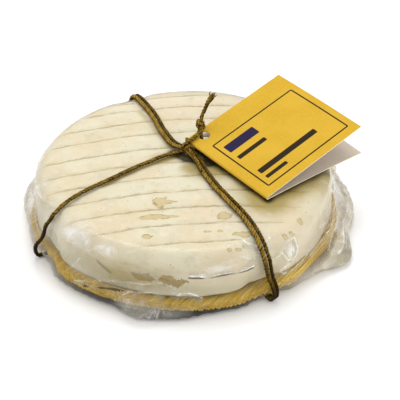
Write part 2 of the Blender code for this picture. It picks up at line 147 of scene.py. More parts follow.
# How far the doubled run of twine bows aside in front of the knot and behind it
FRONT_BOW = 1.7 * MM
FRONT_BOW_AT = -39 * MM
FRONT_BOW_WIDTH = 36 * MM
BACK_BOW = 0.45 * MM
BACK_BOW_AT = 22 * MM
BACK_BOW_WIDTH = 20 * MM

# The tag
CARD_CORNER = spot(1.3, 7.7, 33.0)
CARD_FAR = spot(43.0, 41.9, 44.6)
CARD_FRONT = spot(33.6, -30.8, 30.0)
CARD_DEPTH = 55.2 * MM
LOWER_LEAF_EXTRA = 1.2 * MM
CARD_WIDTH = 50.4 * MM
FOLD_RADIUS = 0.55 * MM
LEAF_ANGLE = math.radians(13.0)
CORNER_DROOP = 1.8 * MM
DROOP_FROM = 0.45
HOLE_RADIUS = 2.5 * MM
HOLE_PLACE = (6.9 * MM, 4.0 * MM)


# Forms that follow the solids


def hill(value, half_width):
    """1 at 0, falling smoothly to 0 at half_width."""
    return np.where(np.abs(value) < half_width, 0.5 + 0.5 * np.cos(np.pi * value / half_width), 0.0)


def rise(value, low, high):
    """0 up to low, growing smoothly to 1 from high on. It falls instead where high is under low."""
    share = np.clip((value - low) / (high - low), 0, 1)
    return share * share * (3 - 2 * share)


def turn_between(a, b):
    return (a - b + math.pi) % TURN - math.pi


def toward(angle, degrees, half_width):
    """1 in that direction from the axis, falling smoothly to 0 at half_width degrees to each side."""
    return hill(turn_between(angle, math.radians(degrees)), math.radians(half_width))


def near_twine(angle):
    """1 where a run of twine comes down the side, 0 away from it."""
    hills = [hill(turn_between(angle, sum(arm) / 2), PINCH_WIDTH) for arm in ARMS]
    return np.minimum(1.0, PINCH_FLAT * np.max(hills, axis=0))


def unevenness(angle):
    """How far the soft disc's outline is off round."""
    return MM * (0.5 * np.cos(2 * (angle - 0.6)) + 0.45 * np.cos(3 * (angle + 0.9)) + 0.3 * np.cos(5 * angle))


def pinch(height):
    """How far the tight twine draws everything in, most at the foot."""
    return PINCH + (PINCH_AT_FOOT - PINCH) * np.maximum(0.0, 1 - height / PINCH_FROM)


def pinched(angle, height):
    return unevenness(angle) - pinch(height) * near_twine(angle)


def crest(x, y):
    """Height of the ridges' tops over a place on the cheese."""
    reach = np.hypot(x - AXIS.x, y - AXIS.y) / CHEESE_RADIUS
    return CHEESE_TOP - TOP_DROP * reach * reach


def mat_bottom(radius):
    return FILM_WALL + GAP + RIM_LIFT * (radius / MAT_RADIUS) ** 4


def mat_top(radius):
    return mat_bottom(radius) + MAT_THICKNESS


def ridge_number(x, y):
    """Which ridge a place is on, counted from the front, with its share of the way across that ridge."""
    east = x - SHIFT.x
    level = y - SHIFT.y - GROOVE_SLOPE * east + GROOVE_BEND * east * east
    edges = [GROOVES[-1] - RIDGE_PITCH] + GROOVES[::-1] + [GROOVES[0] + RIDGE_PITCH]
    return np.interp(level, edges, range(len(edges)))


def away_from(x, y, places):
    """Distance of each point from the line through the places."""
    nearest = np.full(len(x), 1e3)
    for (ax, ay), (bx, by) in zip(places, places[1:]):
        run_x, run_y = bx - ax, by - ay
        share = np.clip(((x - ax) * run_x + (y - ay) * run_y) / (run_x**2 + run_y**2), 0, 1)
        nearest = np.minimum(nearest, np.hypot(x - ax - share * run_x, y - ay - share * run_y))
    return nearest


def clouds(points, size, seed, octaves=3):
    """Smooth noise of about -1 to 1 at each point, with features of about that size."""
    start = Vector((seed * 3.71, seed * 1.93, seed * 5.37))
    return np.array([noise.fractal(Vector(point) / size + start, 1.0, 2.0, octaves) for point in points])


# Modelling helpers


def work_on(obj):
    """Makes obj the only selected object, and the active one."""
    bpy.ops.object.select_all(action="DESELECT")
    obj.select_set(True)
    bpy.context.view_layer.objects.active = obj


def added():
    """The object that the last operator made."""
    return bpy.context.object


def edit(obj, kind, test):
    """Edit mode on obj with only the vertices, edges or faces selected that pass the test."""
    work_on(obj)
    bpy.ops.object.mode_set(mode="EDIT")
    bpy.ops.mesh.select_mode(type=kind)
    bpy.ops.mesh.select_all(action="DESELECT")
    mesh = bmesh.from_edit_mesh(obj.data)
    for item in {"VERT": mesh.verts, "EDGE": mesh.edges, "FACE": mesh.faces}[kind]:
        item.select_set(bool(test(item)))
    mesh.select_flush_mode()
    bmesh.update_edit_mesh(obj.data)


def leave_edit():
    bpy.ops.object.mode_set(mode="OBJECT")


def tidy_shell(obj, distance=0.002 * MM):
    """Merges what meets and turns every face outwards."""
    edit(obj, "FACE", lambda face: True)
    bpy.ops.mesh.remove_doubles(threshold=distance)
    bpy.ops.mesh.normals_make_consistent(inside=False)
    leave_edit()


def modify(obj, kind, **settings):
    """Adds a modifier and applies it."""
    work_on(obj)
    step = obj.modifiers.new(kind.title(), kind)
    for name, value in settings.items():
        setattr(step, name, value)
    bpy.ops.object.modifier_apply(modifier=step.name)


def join(objects):
    """Joins the objects into the first one."""
    bpy.ops.object.select_all(action="DESELECT")
    for obj in objects:
        obj.select_set(True)
    bpy.context.view_layer.objects.active = objects[0]
    bpy.ops.object.join()
    return objects[0]


def points_of(obj):
    flat = np.empty(len(obj.data.vertices) * 3, np.float32)
    obj.data.vertices.foreach_get("co", flat)
    return flat.reshape(-1, 3).astype(float)


def normals_of(obj):
    flat = np.empty(len(obj.data.vertices) * 3, np.float32)
    obj.data.vertices.foreach_get("normal", flat)
    return flat.reshape(-1, 3).astype(float)


def move_points(obj, points):
    obj.data.vertices.foreach_set("co", np.asarray(points, np.float32).ravel())
    obj.data.update()


def store(obj, name, values):
    """Keeps one number for each vertex, for the material to read."""
    attribute = obj.data.attributes.new(name, "FLOAT", "POINT")
    attribute.data.foreach_set("value", np.asarray(values, np.float32))


def a_copy(obj):
    made = obj.copy()
    made.data = obj.data.copy()
    bpy.context.collection.objects.link(made)
    return made


def finish_piece(obj, name, node, material):
    """Gives the piece its name and material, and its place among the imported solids."""
    work_on(obj)
    bpy.ops.object.transform_apply(location=True, rotation=True, scale=True)
    obj.name = obj.data.name = name
    obj.data.materials.clear()
    obj.data.materials.append(material)
    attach(obj, BODY)
    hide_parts(node)


def smooth_line(points, pieces):
    """Points along a Catmull-Rom curve through the given ones."""
    line = []
    for i in range(len(points) - 1):
        p = [points[min(max(i + k, 0), len(points) - 1)] for k in (-1, 0, 1, 2)]
        for t in [step / pieces for step in range(pieces)]:
            bend = 2 * p[0] - 5 * p[1] + 4 * p[2] - p[3]
            turn = 3 * p[1] - p[0] - 3 * p[2] + p[3]
            line.append(0.5 * (2 * p[1] + (p[2] - p[0]) * t + bend * t**2 + turn * t**3))
    return line + [points[-1]]


def evenly(points, spacing):
    """The line through the points as an array, with a point about every spacing."""
    filled = [points[0]]
    for point in points[1:]:
        steps = math.ceil((point - filled[-1]).length / LONGEST_STRETCH)
        filled += [filled[-1].lerp(point, (step + 1) / steps) for step in range(steps)]
    line = np.array([list(point) for point in smooth_line(filled, 12)])
    run = np.concatenate([[0], np.cumsum(np.linalg.norm(np.diff(line, axis=0), axis=1))])
    count = max(4, int(round(run[-1] / spacing)) + 1)
    places = np.linspace(0, run[-1], count)
    return np.stack([np.interp(places, run, line[:, i]) for i in range(3)], axis=1)


def side_axes(line):
    """Two unit vectors square to the line at each of its points, turning no more than the line makes them."""
    along = np.gradient(line, axis=0)
    along /= np.linalg.norm(along, axis=1)[:, None]
    first = np.cross(along[0], (0.0, 0.0, 1.0))
    if np.linalg.norm(first) < 0.1:
        first = np.cross(along[0], (0.0, 1.0, 0.0))
    across = [first / np.linalg.norm(first)]
    for direction in along[1:]:
        moved = across[-1] - direction * (across[-1] @ direction)
        across.append(moved / np.linalg.norm(moved))
    across = np.array(across)
    return across, np.cross(along, across)


def tube(line, radii, sides):
    """A closed tube round a line, rolled from a grid, and for each vertex the number of its point on the line.
    Each vertex keeps its share of the way round."""
    count = len(line)
    bpy.ops.object.select_all(action="DESELECT")
    bpy.ops.mesh.primitive_grid_add(x_subdivisions=count - 1, y_subdivisions=sides, size=1, location=(0, 0, 0))
    obj = added()
    flat = points_of(obj)
    place = np.rint((flat[:, 0] + 0.5) * (count - 1)).astype(int)
    turn = -(flat[:, 1] + 0.5) * TURN
    across, up = side_axes(line)
    radii = np.broadcast_to(radii, (count,)).copy()
    radii[0] = radii[-1] = 0
    way = np.cos(turn)[:, None] * across[place] + np.sin(turn)[:, None] * up[place]
    move_points(obj, line[place] + radii[place][:, None] * way)
    store(obj, "round", flat[:, 1] + 0.5)
    return obj, place


# Material helpers


class Wire:
    """A socket of a material. Python's operators on it add Math nodes."""

    def __init__(self, paint, socket):
        self.paint = paint
        self.socket = socket

    def __add__(self, other):
        return self.paint.maths("ADD", self, other)

    __radd__ = __add__

    def __sub__(self, other):
        return self.paint.maths("SUBTRACT", self, other)

    def __rsub__(self, other):
        return self.paint.maths("SUBTRACT", other, self)

    def __mul__(self, other):
        return self.paint.maths("MULTIPLY", self, other)

    __rmul__ = __mul__

    def __truediv__(self, other):
        return self.paint.maths("DIVIDE", self, other)

    def __abs__(self):
        return self.paint.maths("ABSOLUTE", self)


class Paint:
    """The node tree of one material, from an empty one to the finished surface."""

    def __init__(self, name):
        self.material = bpy.data.materials.new(name)
        self.material.use_nodes = True
        self.tree = self.material.node_tree
        self.tree.nodes.clear()

    def node(self, kind, settings=None, inputs=None, output=0):
        """Adds a node, sets it up, fills or links its sockets, and returns one of its outputs, if any."""
        made = self.tree.nodes.new(kind)
        for name, value in (settings or {}).items():
            setattr(made, name, value)
        for key, value in (inputs or {}).items():
            socket = made.inputs[key]
            if isinstance(value, Wire):
                self.tree.links.new(value.socket, socket)
            elif socket.type == "RGBA":
                socket.default_value = (*value[:3], 1)
            else:
                socket.default_value = value
        return None if output is None else Wire(self, made.outputs[output])

    def maths(self, operation, *values):
        return self.node("ShaderNodeMath", {"operation": operation}, dict(enumerate(values)))

    def place(self):
        """The point on the piece, in metres."""
        return self.node("ShaderNodeTexCoord", output="Object")

    def stored(self, name):
        """A number that the mesh keeps for each vertex."""
        return self.node("ShaderNodeAttribute", {"attribute_name": name}, output="Fac")

    def mapped(self, size=(1, 1, 1), turn=0.0, at=None):
        """The point on the piece in a frame turned about Z, with each side divided by a size."""
        inputs = {"Vector": at or self.place(), "Rotation": (0, 0, turn), "Scale": size}
        return self.node("ShaderNodeMapping", {"vector_type": "TEXTURE"}, inputs)

    def joined(self, x=0.0, y=0.0, z=0.0):
        return self.node("ShaderNodeCombineXYZ", None, {"X": x, "Y": y, "Z": z})

    def coordinate(self, axis):
        """The X, Y or Z of the point on the piece, in metres."""
        return self.node("ShaderNodeSeparateXYZ", None, {"Vector": self.place()}, output=axis)

    def larger(self, first, *others):
        for other in others:
            first = self.maths("MAXIMUM", first, other)
        return first

    def smaller(self, first, second):
        return self.maths("MINIMUM", first, second)

    def noise(self, size, detail=3.0, roughness=0.5, warp=0.0, at=None):
        """Cloudy noise from 0 to 1, about 0.5 on average, with features of about that size."""
        inputs = {"Vector": at or self.place(), "Scale": 1 / size, "Detail": detail}
        inputs.update({"Roughness": roughness, "Distortion": warp})
        return self.node("ShaderNodeTexNoise", None, inputs)

    def cells(self, size, feature="F1", at=None):
        """Distance to the nearest of many scattered points, or to the edge between two of them."""
        inputs = {"Vector": at or self.place(), "Scale": 1 / size}
        return self.node("ShaderNodeTexVoronoi", {"feature": feature}, inputs, "Distance")

    def rise(self, value, low, high):
        """0 up to low, growing smoothly to 1 at high."""
        inputs = {"Value": value, "From Min": low, "From Max": high}
        return self.node("ShaderNodeMapRange", {"interpolation_type": "SMOOTHSTEP"}, inputs)

    def fall(self, value, low, high):
        """1 up to low, falling smoothly to 0 at high."""
        return 1 - self.rise(value, low, high)

    def blots(self, size, low, high, detail=3.0, roughness=0.5):
        """Blots of about that size: 0 where the noise is under low, 1 where it is over high."""
        return self.rise(self.noise(size, detail, roughness), low, high)

    def layered(self, base, *layers):
        """The base colour with each layer, an amount from 0 to 1 and a colour, laid over it in turn."""
        for amount, tint in layers:
            base = self.node("ShaderNodeMix", {"data_type": "RGBA"}, {0: amount, 6: base, 7: tint}, 2)
        return base

    def bump(self, height, strength=1.0, depth=0.001):
        return self.node("ShaderNodeBump", None, {"Height": height, "Strength": strength, "Distance": depth})

    def shader(self, **inputs):
        """A Principled surface, with each socket's name written with _ for a space."""
        return self.node("ShaderNodeBsdfPrincipled", None, {k.replace("_", " "): v for k, v in inputs.items()})

    def either(self, amount, first, second):
        return self.node("ShaderNodeMixShader", None, {0: amount, 1: first, 2: second})

    def done(self, surface):
        self.node("ShaderNodeOutputMaterial", None, {"Surface": surface}, output=None)
        return self.material


def colour(name, description, value):
    """A colour property, in linear light."""
    return FloatVectorProperty(name=name, description=description, default=value, subtype="COLOR", min=0, max=1)


def length(name, description, value):
    return FloatProperty(
        name=name, description=description, default=value, min=0, subtype="DISTANCE", unit="LENGTH"
    )


# The cheese


class RindSettings(bpy.types.PropertyGroup):
    voxel: length("Mesh size", "Side of the rind mesh's squares", 0.64 * MM)
    groove_depth: length("Groove depth", "How deep the drainage grooves are pressed in", 0.62 * MM)
    rim_round: length("Rim rounding", "Radius of the soft top edge", 6.5 * MM)
    cream: colour("Cream", "Main colour of the bloomy rind", (0.78, 0.725, 0.555))
    warm: colour("Warm", "Warmer clouds in the rind", (0.765, 0.665, 0.47))
    line: colour("Groove lines", "Thin lines at the bottom of the grooves", (0.43, 0.35, 0.17))
    patch: colour("Patches", "Bare tan patches", (0.64, 0.52, 0.26))
    edge: colour("Patch edges", "Darker outlines of the tan patches", (0.36, 0.26, 0.07))
    # Olive colour for staining mixed with painted shade: by the tag, beside the twine, round the knot and low on
    # the side
    stain_and_shade: colour("Stain", "Olive stains by the tag and low on the side", (0.41, 0.31, 0.085))
    # Hollows is the painted shadow right under the tag's edge and the knot on the top, and the dark cut in the
    # side
    hollow: colour("Hollows", "The darkest places, under the tag's edge and the knot", (0.045, 0.03, 0.006))


# Bare patches on the top: middle, and half the size along X and Y, in mm from the point under the knot
TOP_PATCHES = [
    (-9.6, -29.6, 4.2, 2.3),
    (-9.8, -32.4, 1.9, 2.0),
    (-5.6, -30.0, 2.4, 0.8),
    (-10.6, -39.9, 5.2, 1.6),
    (-5.4, -39.8, 3.0, 0.7),
    (-15.8, -40.7, 2.0, 0.7),
    (-14.3, -51.9, 1.9, 1.3),
    (16.2, -39.4, 3.0, 2.0),
    (9.4, -49.4, 1.5, 0.8),
    (13.9, -49.2, 1.7, 0.9),
    (23.0, -51.2, 3.6, 1.7),
    (46.3, -41.2, 1.3, 1.2),
    (40.6, -49.8, 1.5, 1.0),
    (42.9, -47.6, 1.5, 0.8),
    (17.6, -59.6, 0.8, 0.8),
    (21.0, -59.0, 1.5, 0.6),
    (23.0, -57.6, 0.7, 0.9),
    (-28.1, 46.0, 5.0, 1.0),
]
# The outline that the tag's edges make over the top, where the rind below has olive staining and painted shade,
# in mm
TAG_EDGE = [(5.0, 9.0), (34.3, -28.9), (64.3, -5.6)]
# In mm too: where painted contact shade lies on the rind below the single run of twine and beside the doubled
# one, and where the painted shadow lies under the knot
TWINE_SHADE = [(-3.0, 2.5), (-14.3, -3.6), (-22.6, -9.3), (-30.8, -15.7), (-33.5, -17.9)]
UPPER_SHADE = [(-19.5, 38.0), (-15.4, 30.5), (-11.2, 20.0), (-6.4, 10.0)]
KNOT_SHADE = [(-4.2, 4.8), (-1.0, 2.0), (1.2, 0.2), (5.0, -1.4), (10.5, -4.0)]
# Painted shade round the knot, partly olive staining: middle and half the size along X and Y in mm, and strength
KNOT_STAINS_AND_SHADE = [(9, -10, 14, 12, 0.62), (-10, 2, 10, 6, 0.5), (1.5, -6.5, 7, 8, 0.5)]
# Painted shade low on the side, in the olive colour: place and half the width in degrees, height and half the
# height in mm, and strength
LOW_SHADE = [(-108, 24, 13, 8, 0.62), (-130, 28, 15, 14, 0.42), (-105, 30, 20, 6.5, 0.42), (-62, 50, 5, 7, 0.35)]
# A cut in the side: the angle in degrees and height in mm of its two ends
CUT_MARK = [(-123.2, 18.2), (-118.2, 14.4)]
# Bare patches on the side: angle from the axis in degrees, height, half the length and height in mm
SIDE_PATCHES = [
    (-105.6, 15.9, 4.6, 1.9),
    (-96.0, 15.8, 3.6, 2.4),
    (-92.6, 14.6, 3.2, 2.0),
    (60.0, 15.0, 5.0, 1.8),
    (150.0, 16.0, 4.0, 1.6),
]


def patch_distance(points, wobble):
    """Distance to the nearest bare patch, in units of that patch's half size: under 1 inside it."""
    x, y = (points[:, i] - SHIFT[i] for i in (0, 1))
    angle = np.arctan2(points[:, 1] - AXIS.y, points[:, 0] - AXIS.x)
    best = np.full(len(points), 9.0)
    for east, north, half_x, half_y in TOP_PATCHES:
        off = np.hypot((x / MM - east) / half_x, (y / MM - north) / half_y)
        best = np.minimum(best, np.where(points[:, 2] > CHEESE_TOP - 5 * MM, off, 9.0))
    for degrees, height, half_length, half_height in SIDE_PATCHES:
        arc = turn_between(angle, math.radians(degrees)) * CHEESE_RADIUS / MM
        off = np.hypot(arc / half_length, (points[:, 2] / MM - height) / half_height)
        best = np.minimum(best, np.where(points[:, 2] < CHEESE_TOP - 5 * MM, off, 9.0))
    return best + wobble


def rind_material(settings):
    paint = Paint("rind")
    ridge, top, level = paint.stored("ridge"), paint.stored("lined"), paint.coordinate("Z")
    width = 0.20 + 0.55 * paint.blots(5 * MM, 0.35, 0.72, 4, 0.65)
    across = paint.maths("PINGPONG", ridge, 0.5) * (RIDGE_PITCH / MM)
    across = across + (paint.noise(1.5 * MM, 3, 0.6) - 0.5) * 0.5
    groove = paint.fall(across / width, 0.25, 1.7) * top * (0.34 + 0.5 * paint.blots(9 * MM, 0.32, 0.62, 4, 0.6))
    fringe = paint.fall(across, 0.5, 3.2) * top * paint.blots(6 * MM, 0.42, 0.75, 4, 0.6)
    pink = paint.rise(paint.noise(31 * MM, 2, 0.5, at=paint.mapped((1.5, 1, 1))), 0.5, 0.72)
    smudge = paint.blots(2.6 * MM, 0.53, 0.70, 5, 0.7) * paint.blots(13 * MM, 0.40, 0.62, 2)
    freckle = paint.fall(paint.cells(3.6 * MM) * 3.6 * MM, 0.12 * MM, 0.50 * MM)
    freckle = freckle * paint.blots(9 * MM, 0.44, 0.58, 2)
    shaded = paint.fall(level, 9 * MM, 20 * MM) * paint.fall(paint.coordinate("X"), 12 * MM, 42 * MM)
    stain_and_shade = paint.stored("stain_and_shade") * (0.60 + 0.8 * paint.noise(6 * MM, 5, 0.62))
    off = paint.stored("patch") + (paint.noise(1.6 * MM, 4, 0.65) - 0.5) * 1.3
    inside = paint.fall(off, 0.86, 1.04)
    outline = paint.fall(abs(off - 0.95), 0.03, 0.20) * paint.blots(3 * MM, 0.35, 0.6)
    base = paint.layered(
        settings.cream,
        (paint.blots(22 * MM, 0.38, 0.66, 3, 0.55), settings.warm),
        (pink * 0.5, (0.80, 0.68, 0.53)),
        (paint.blots(8 * MM, 0.50, 0.74, 6, 0.66) * 0.55, (0.61, 0.57, 0.42)),
        (paint.blots(5 * MM, 0.52, 0.70, 5, 0.6) * 0.45, (0.85, 0.80, 0.66)),
        (fringe * 0.5, (0.62, 0.56, 0.36)),
        (groove * 0.9, settings.line),
        (smudge * 0.42, (0.58, 0.50, 0.36)),
        (freckle * 0.6, (0.33, 0.24, 0.12)),
        (shaded * 0.62, (0.60, 0.585, 0.42)),
        # olive staining and painted shade by the tag, twine and knot, and painted shade low on the side
        (paint.rise(stain_and_shade, 0.06, 0.95) * 0.9, settings.stain_and_shade),
        # painted shadow under the tag's edge and the knot on the top, and the dark cut in the side
        (paint.smaller(paint.stored("hollow"), 0.95), settings.hollow),
        (inside * (0.55 + 0.5 * paint.noise(2.5 * MM)), settings.patch),
        (inside * paint.fall(level, 18 * MM, 22 * MM) * 0.8, (0.35, 0.245, 0.06)),
        (outline * 0.75, settings.edge),
    )
    fluff = paint.noise(0.9 * MM, 5, 0.7)
    height = fluff * 0.30 + paint.noise(0.35 * MM, 2, 0.6) * 0.10 + paint.noise(3.2 * MM, 4, 0.6) * 0.55
    height = height - groove * 0.5 - inside * 0.35
    surface = paint.shader(
        Base_Color=base,
        Roughness=0.62 + 0.2 * fluff - 0.2 * inside,
        Normal=paint.bump(height, 0.75, 0.7 * MM),
        Subsurface_Weight=0.12,
        Subsurface_Radius=(1.0, 0.8, 0.5),
        Subsurface_Scale=1.6 * MM,
        Specular_IOR_Level=0.15,
    )
    return paint.done(surface)


class CHEESE_OT_rind(bpy.types.Operator):
    """Make the ridged cheese"""

    bl_idname = "ridged_cheese.rind"
    bl_label = "Cheese"

    def execute(self, context):
        settings = context.scene.cheese_rind
        foot = mat_top(0) + GAP
        tall = CHEESE_TOP - foot
        bpy.ops.object.select_all(action="DESELECT")
        bpy.ops.mesh.primitive_cylinder_add(
            vertices=160, radius=CHEESE_RADIUS, depth=tall, location=(AXIS.x, AXIS.y, foot + tall / 2)
        )
        puck = added()
        bpy.ops.object.transform_apply(location=True, rotation=True, scale=True)
        for height, offset, segments in ((CHEESE_TOP, settings.rim_round, 8), (foot, 3 * MM, 3)):
            edit(puck, "EDGE", lambda edge: all(abs(v.co.z - height) < 0.01 * MM for v in edge.verts))
            bpy.ops.mesh.bevel(offset=offset, segments=segments, profile=0.5, affect="EDGES")
            leave_edit()
        modify(puck, "REMESH", mode="VOXEL", voxel_size=settings.voxel)
        modify(puck, "SMOOTH", factor=0.5, iterations=4)
        self.shape(puck, settings, foot)
        bpy.ops.object.shade_smooth()
        finish_piece(puck, "bloomy_rind", "cheese", rind_material(settings))
        return {"FINISHED"}

    def shape(self, puck, settings, foot):
        """Soft uneven outline, the ridges between the grooves, and the dished underside."""
        points, facing = points_of(puck), normals_of(puck)
        flat = points[:, :2] - np.array(AXIS[:2])
        radius = np.maximum(np.hypot(flat[:, 0], flat[:, 1]), 1e-6)
        angle = np.arctan2(flat[:, 1], flat[:, 0])
        lumps = 0.45 * MM * clouds(points, 14 * MM, 3) * rise(radius, 0.8 * CHEESE_RADIUS, CHEESE_RADIUS)
        wider = 1 + (np.minimum(1, 2 * radius / CHEESE_RADIUS) * pinched(angle, points[:, 2]) + lumps) / radius
        points[:, 0] = AXIS.x + flat[:, 0] * wider
        points[:, 1] = AXIS.y + flat[:, 1] * wider
        share = (points[:, 2] - foot) / (CHEESE_TOP - foot)
        points[:, 2] -= TOP_DROP * np.minimum(1, radius / CHEESE_RADIUS) ** 2 * share
        points[:, 2] += (mat_top(radius) - mat_top(0)) * rise(share, 0.35, 0.0)
        top = rise(facing[:, 2], 0.25, 0.75)
        above = points * (1, 1, 0)
        wander = (0.5 * clouds(above, 15 * MM, 11, 2) + 0.42 * clouds(above, 5 * MM, 13, 4)) * MM * top
        ridge = ridge_number(points[:, 0], points[:, 1] + wander)
        near = np.abs(ridge - np.rint(ridge))
        fine = np.exp(-((near * RIDGE_PITCH / (0.75 * MM)) ** 2))
        broad = 1 - np.abs(np.sin(np.pi * ridge)) ** 0.55
        inner = CHEESE_RADIUS * (1 - 0.07 * toward(angle, -25, 60))
        lined = rise(radius + 2.5 * MM * clouds(points, 9 * MM, 17, 2), 0.99 * inner, 0.89 * inner) * top
        depth = np.clip(0.7 + 0.6 * clouds(above, 20 * MM, 5), 0.25, 1.3)
        sunk = settings.groove_depth * (0.6 * fine * depth + 0.4 * broad) * (0.25 + 0.75 * lined)
        soft = 0.18 * MM * clouds(points, 8 * MM, 8, 4) + 0.22 * MM * clouds(points, 26 * MM, 4, 2)
        points[:, 2] -= (sunk + np.maximum(0, 0.12 * MM + soft)) * top
        move_points(puck, points)
        store(puck, "ridge", ridge)
        store(puck, "lined", lined)
        store(puck, "patch", patch_distance(points, 0.5 * clouds(points, 2.4 * MM, 21, 4)))
        stain_and_shade, hollow = self.stains_and_shade(points, angle)
        store(puck, "stain_and_shade", stain_and_shade)
        store(puck, "hollow", hollow)

    def stains_and_shade(self, points, angle):
        """Olive staining and painted shade by the tag, painted shade beside the twine, round the knot and low on
        the side, the darkest painted shadow under the tag's edge and the knot, and the cut mark.
        """
        x, y = ((points[:, i] - SHIFT[i]) / MM for i in (0, 1))
        height = points[:, 2] / MM
        high = points[:, 2] > CHEESE_TOP - 4 * MM

        def near(places, reach, fade=2.0):
            """1 on the line through the places, fading out over about that reach in mm."""
            return np.exp(-((away_from(x, y, places) / reach) ** fade))

        left_edge, right_edge = TAG_EDGE[:2], TAG_EDGE[1:]
        # Olive staining and painted shade along the tag's edges
        stain_and_shade = 0.85 * near(left_edge, 4.4, 1) + 0.88 * near(right_edge, 11.0, 1.6)
        # Painted contact shade below the single run of twine and beside the doubled one
        stain_and_shade = stain_and_shade + 0.75 * near(TWINE_SHADE, 2.3) + 0.5 * near(UPPER_SHADE, 1.9)
        # Painted shade round the knot, partly olive staining
        for east, north, half_x, half_y, strength in KNOT_STAINS_AND_SHADE:
            stain_and_shade = stain_and_shade + strength * hill(np.hypot((x - east) / half_x, (y - north) / half_y), 1.0)
        # Darkest painted shadow right under the tag's edges and the knot
        hollow = (0.9 + 0.9 * hill(x - 7, 14)) * near(left_edge, 2.0) + 0.75 * near(right_edge, 1.5)
        hollow = hollow + 1.6 * near(KNOT_SHADE, 2.4)
        # Painted shade low on the side, in the olive colour
        lower = sum(
            strength * toward(angle, degrees, half_width) * hill(height - level, half_height)
            for degrees, half_width, level, half_height, strength in LOW_SHADE
        )
        arc = CHEESE_RADIUS / MM
        cut = away_from(angle * arc, height, [(math.radians(at) * arc, level) for at, level in CUT_MARK])
        marked = 0.62 * np.maximum(0, 1 - cut)
        return np.where(high, stain_and_shade, lower), np.where(high, hollow, marked)


# The straw mat


class MatSettings(bpy.types.PropertyGroup):
    straw: length("Straw", "Diameter of one straw", 1.05 * MM)
    layers: IntProperty(name="Layers", description="Layers of straw laid on each other", default=4, min=1)
    golden: colour("Golden", "Main colour of the dry straw", (0.64, 0.41, 0.026))
    pale: colour("Pale", "Paler, bleached straw", (0.90, 0.68, 0.14))
    # Brown also paints the shade on the straws under the cheese's edge
    brown: colour("Brown", "Darker joints and gaps", (0.21, 0.11, 0.010))


def straw_material(settings):
    paint = Paint("dry_straw")
    fibres = paint.noise(0.5 * MM, 4, 0.6, at=paint.mapped((26, 1, 1), STRAW_ANGLE))
    tint = paint.noise(6 * MM, 3, 0.6, at=paint.mapped((3, 1, 1), STRAW_ANGLE))
    # Painted shade on the straws under the cheese's edge, strongest at the front
    tucked_shade = paint.stored("tucked_shade") * (0.62 + 0.5 * paint.noise(9 * MM, 3, 0.6))
    base = paint.layered(
        settings.golden,
        (paint.rise(paint.stored("straw") * 0.4 + fibres * 0.6, 0.30, 0.80), settings.pale),
        (paint.rise(fibres * 0.6 + tint * 0.5, 0.60, 0.78) * 0.7, settings.brown),
        (paint.stored("pit") * 0.5, settings.pale),
        (paint.smaller(tucked_shade, 0.92), settings.brown),
    )
    surface = paint.shader(
        Base_Color=base,
        Roughness=0.42 + 0.25 * fibres,
        Normal=paint.bump(fibres, 0.5, 0.12 * MM),
        Specular_IOR_Level=0.15,
    )
    return paint.done(surface)


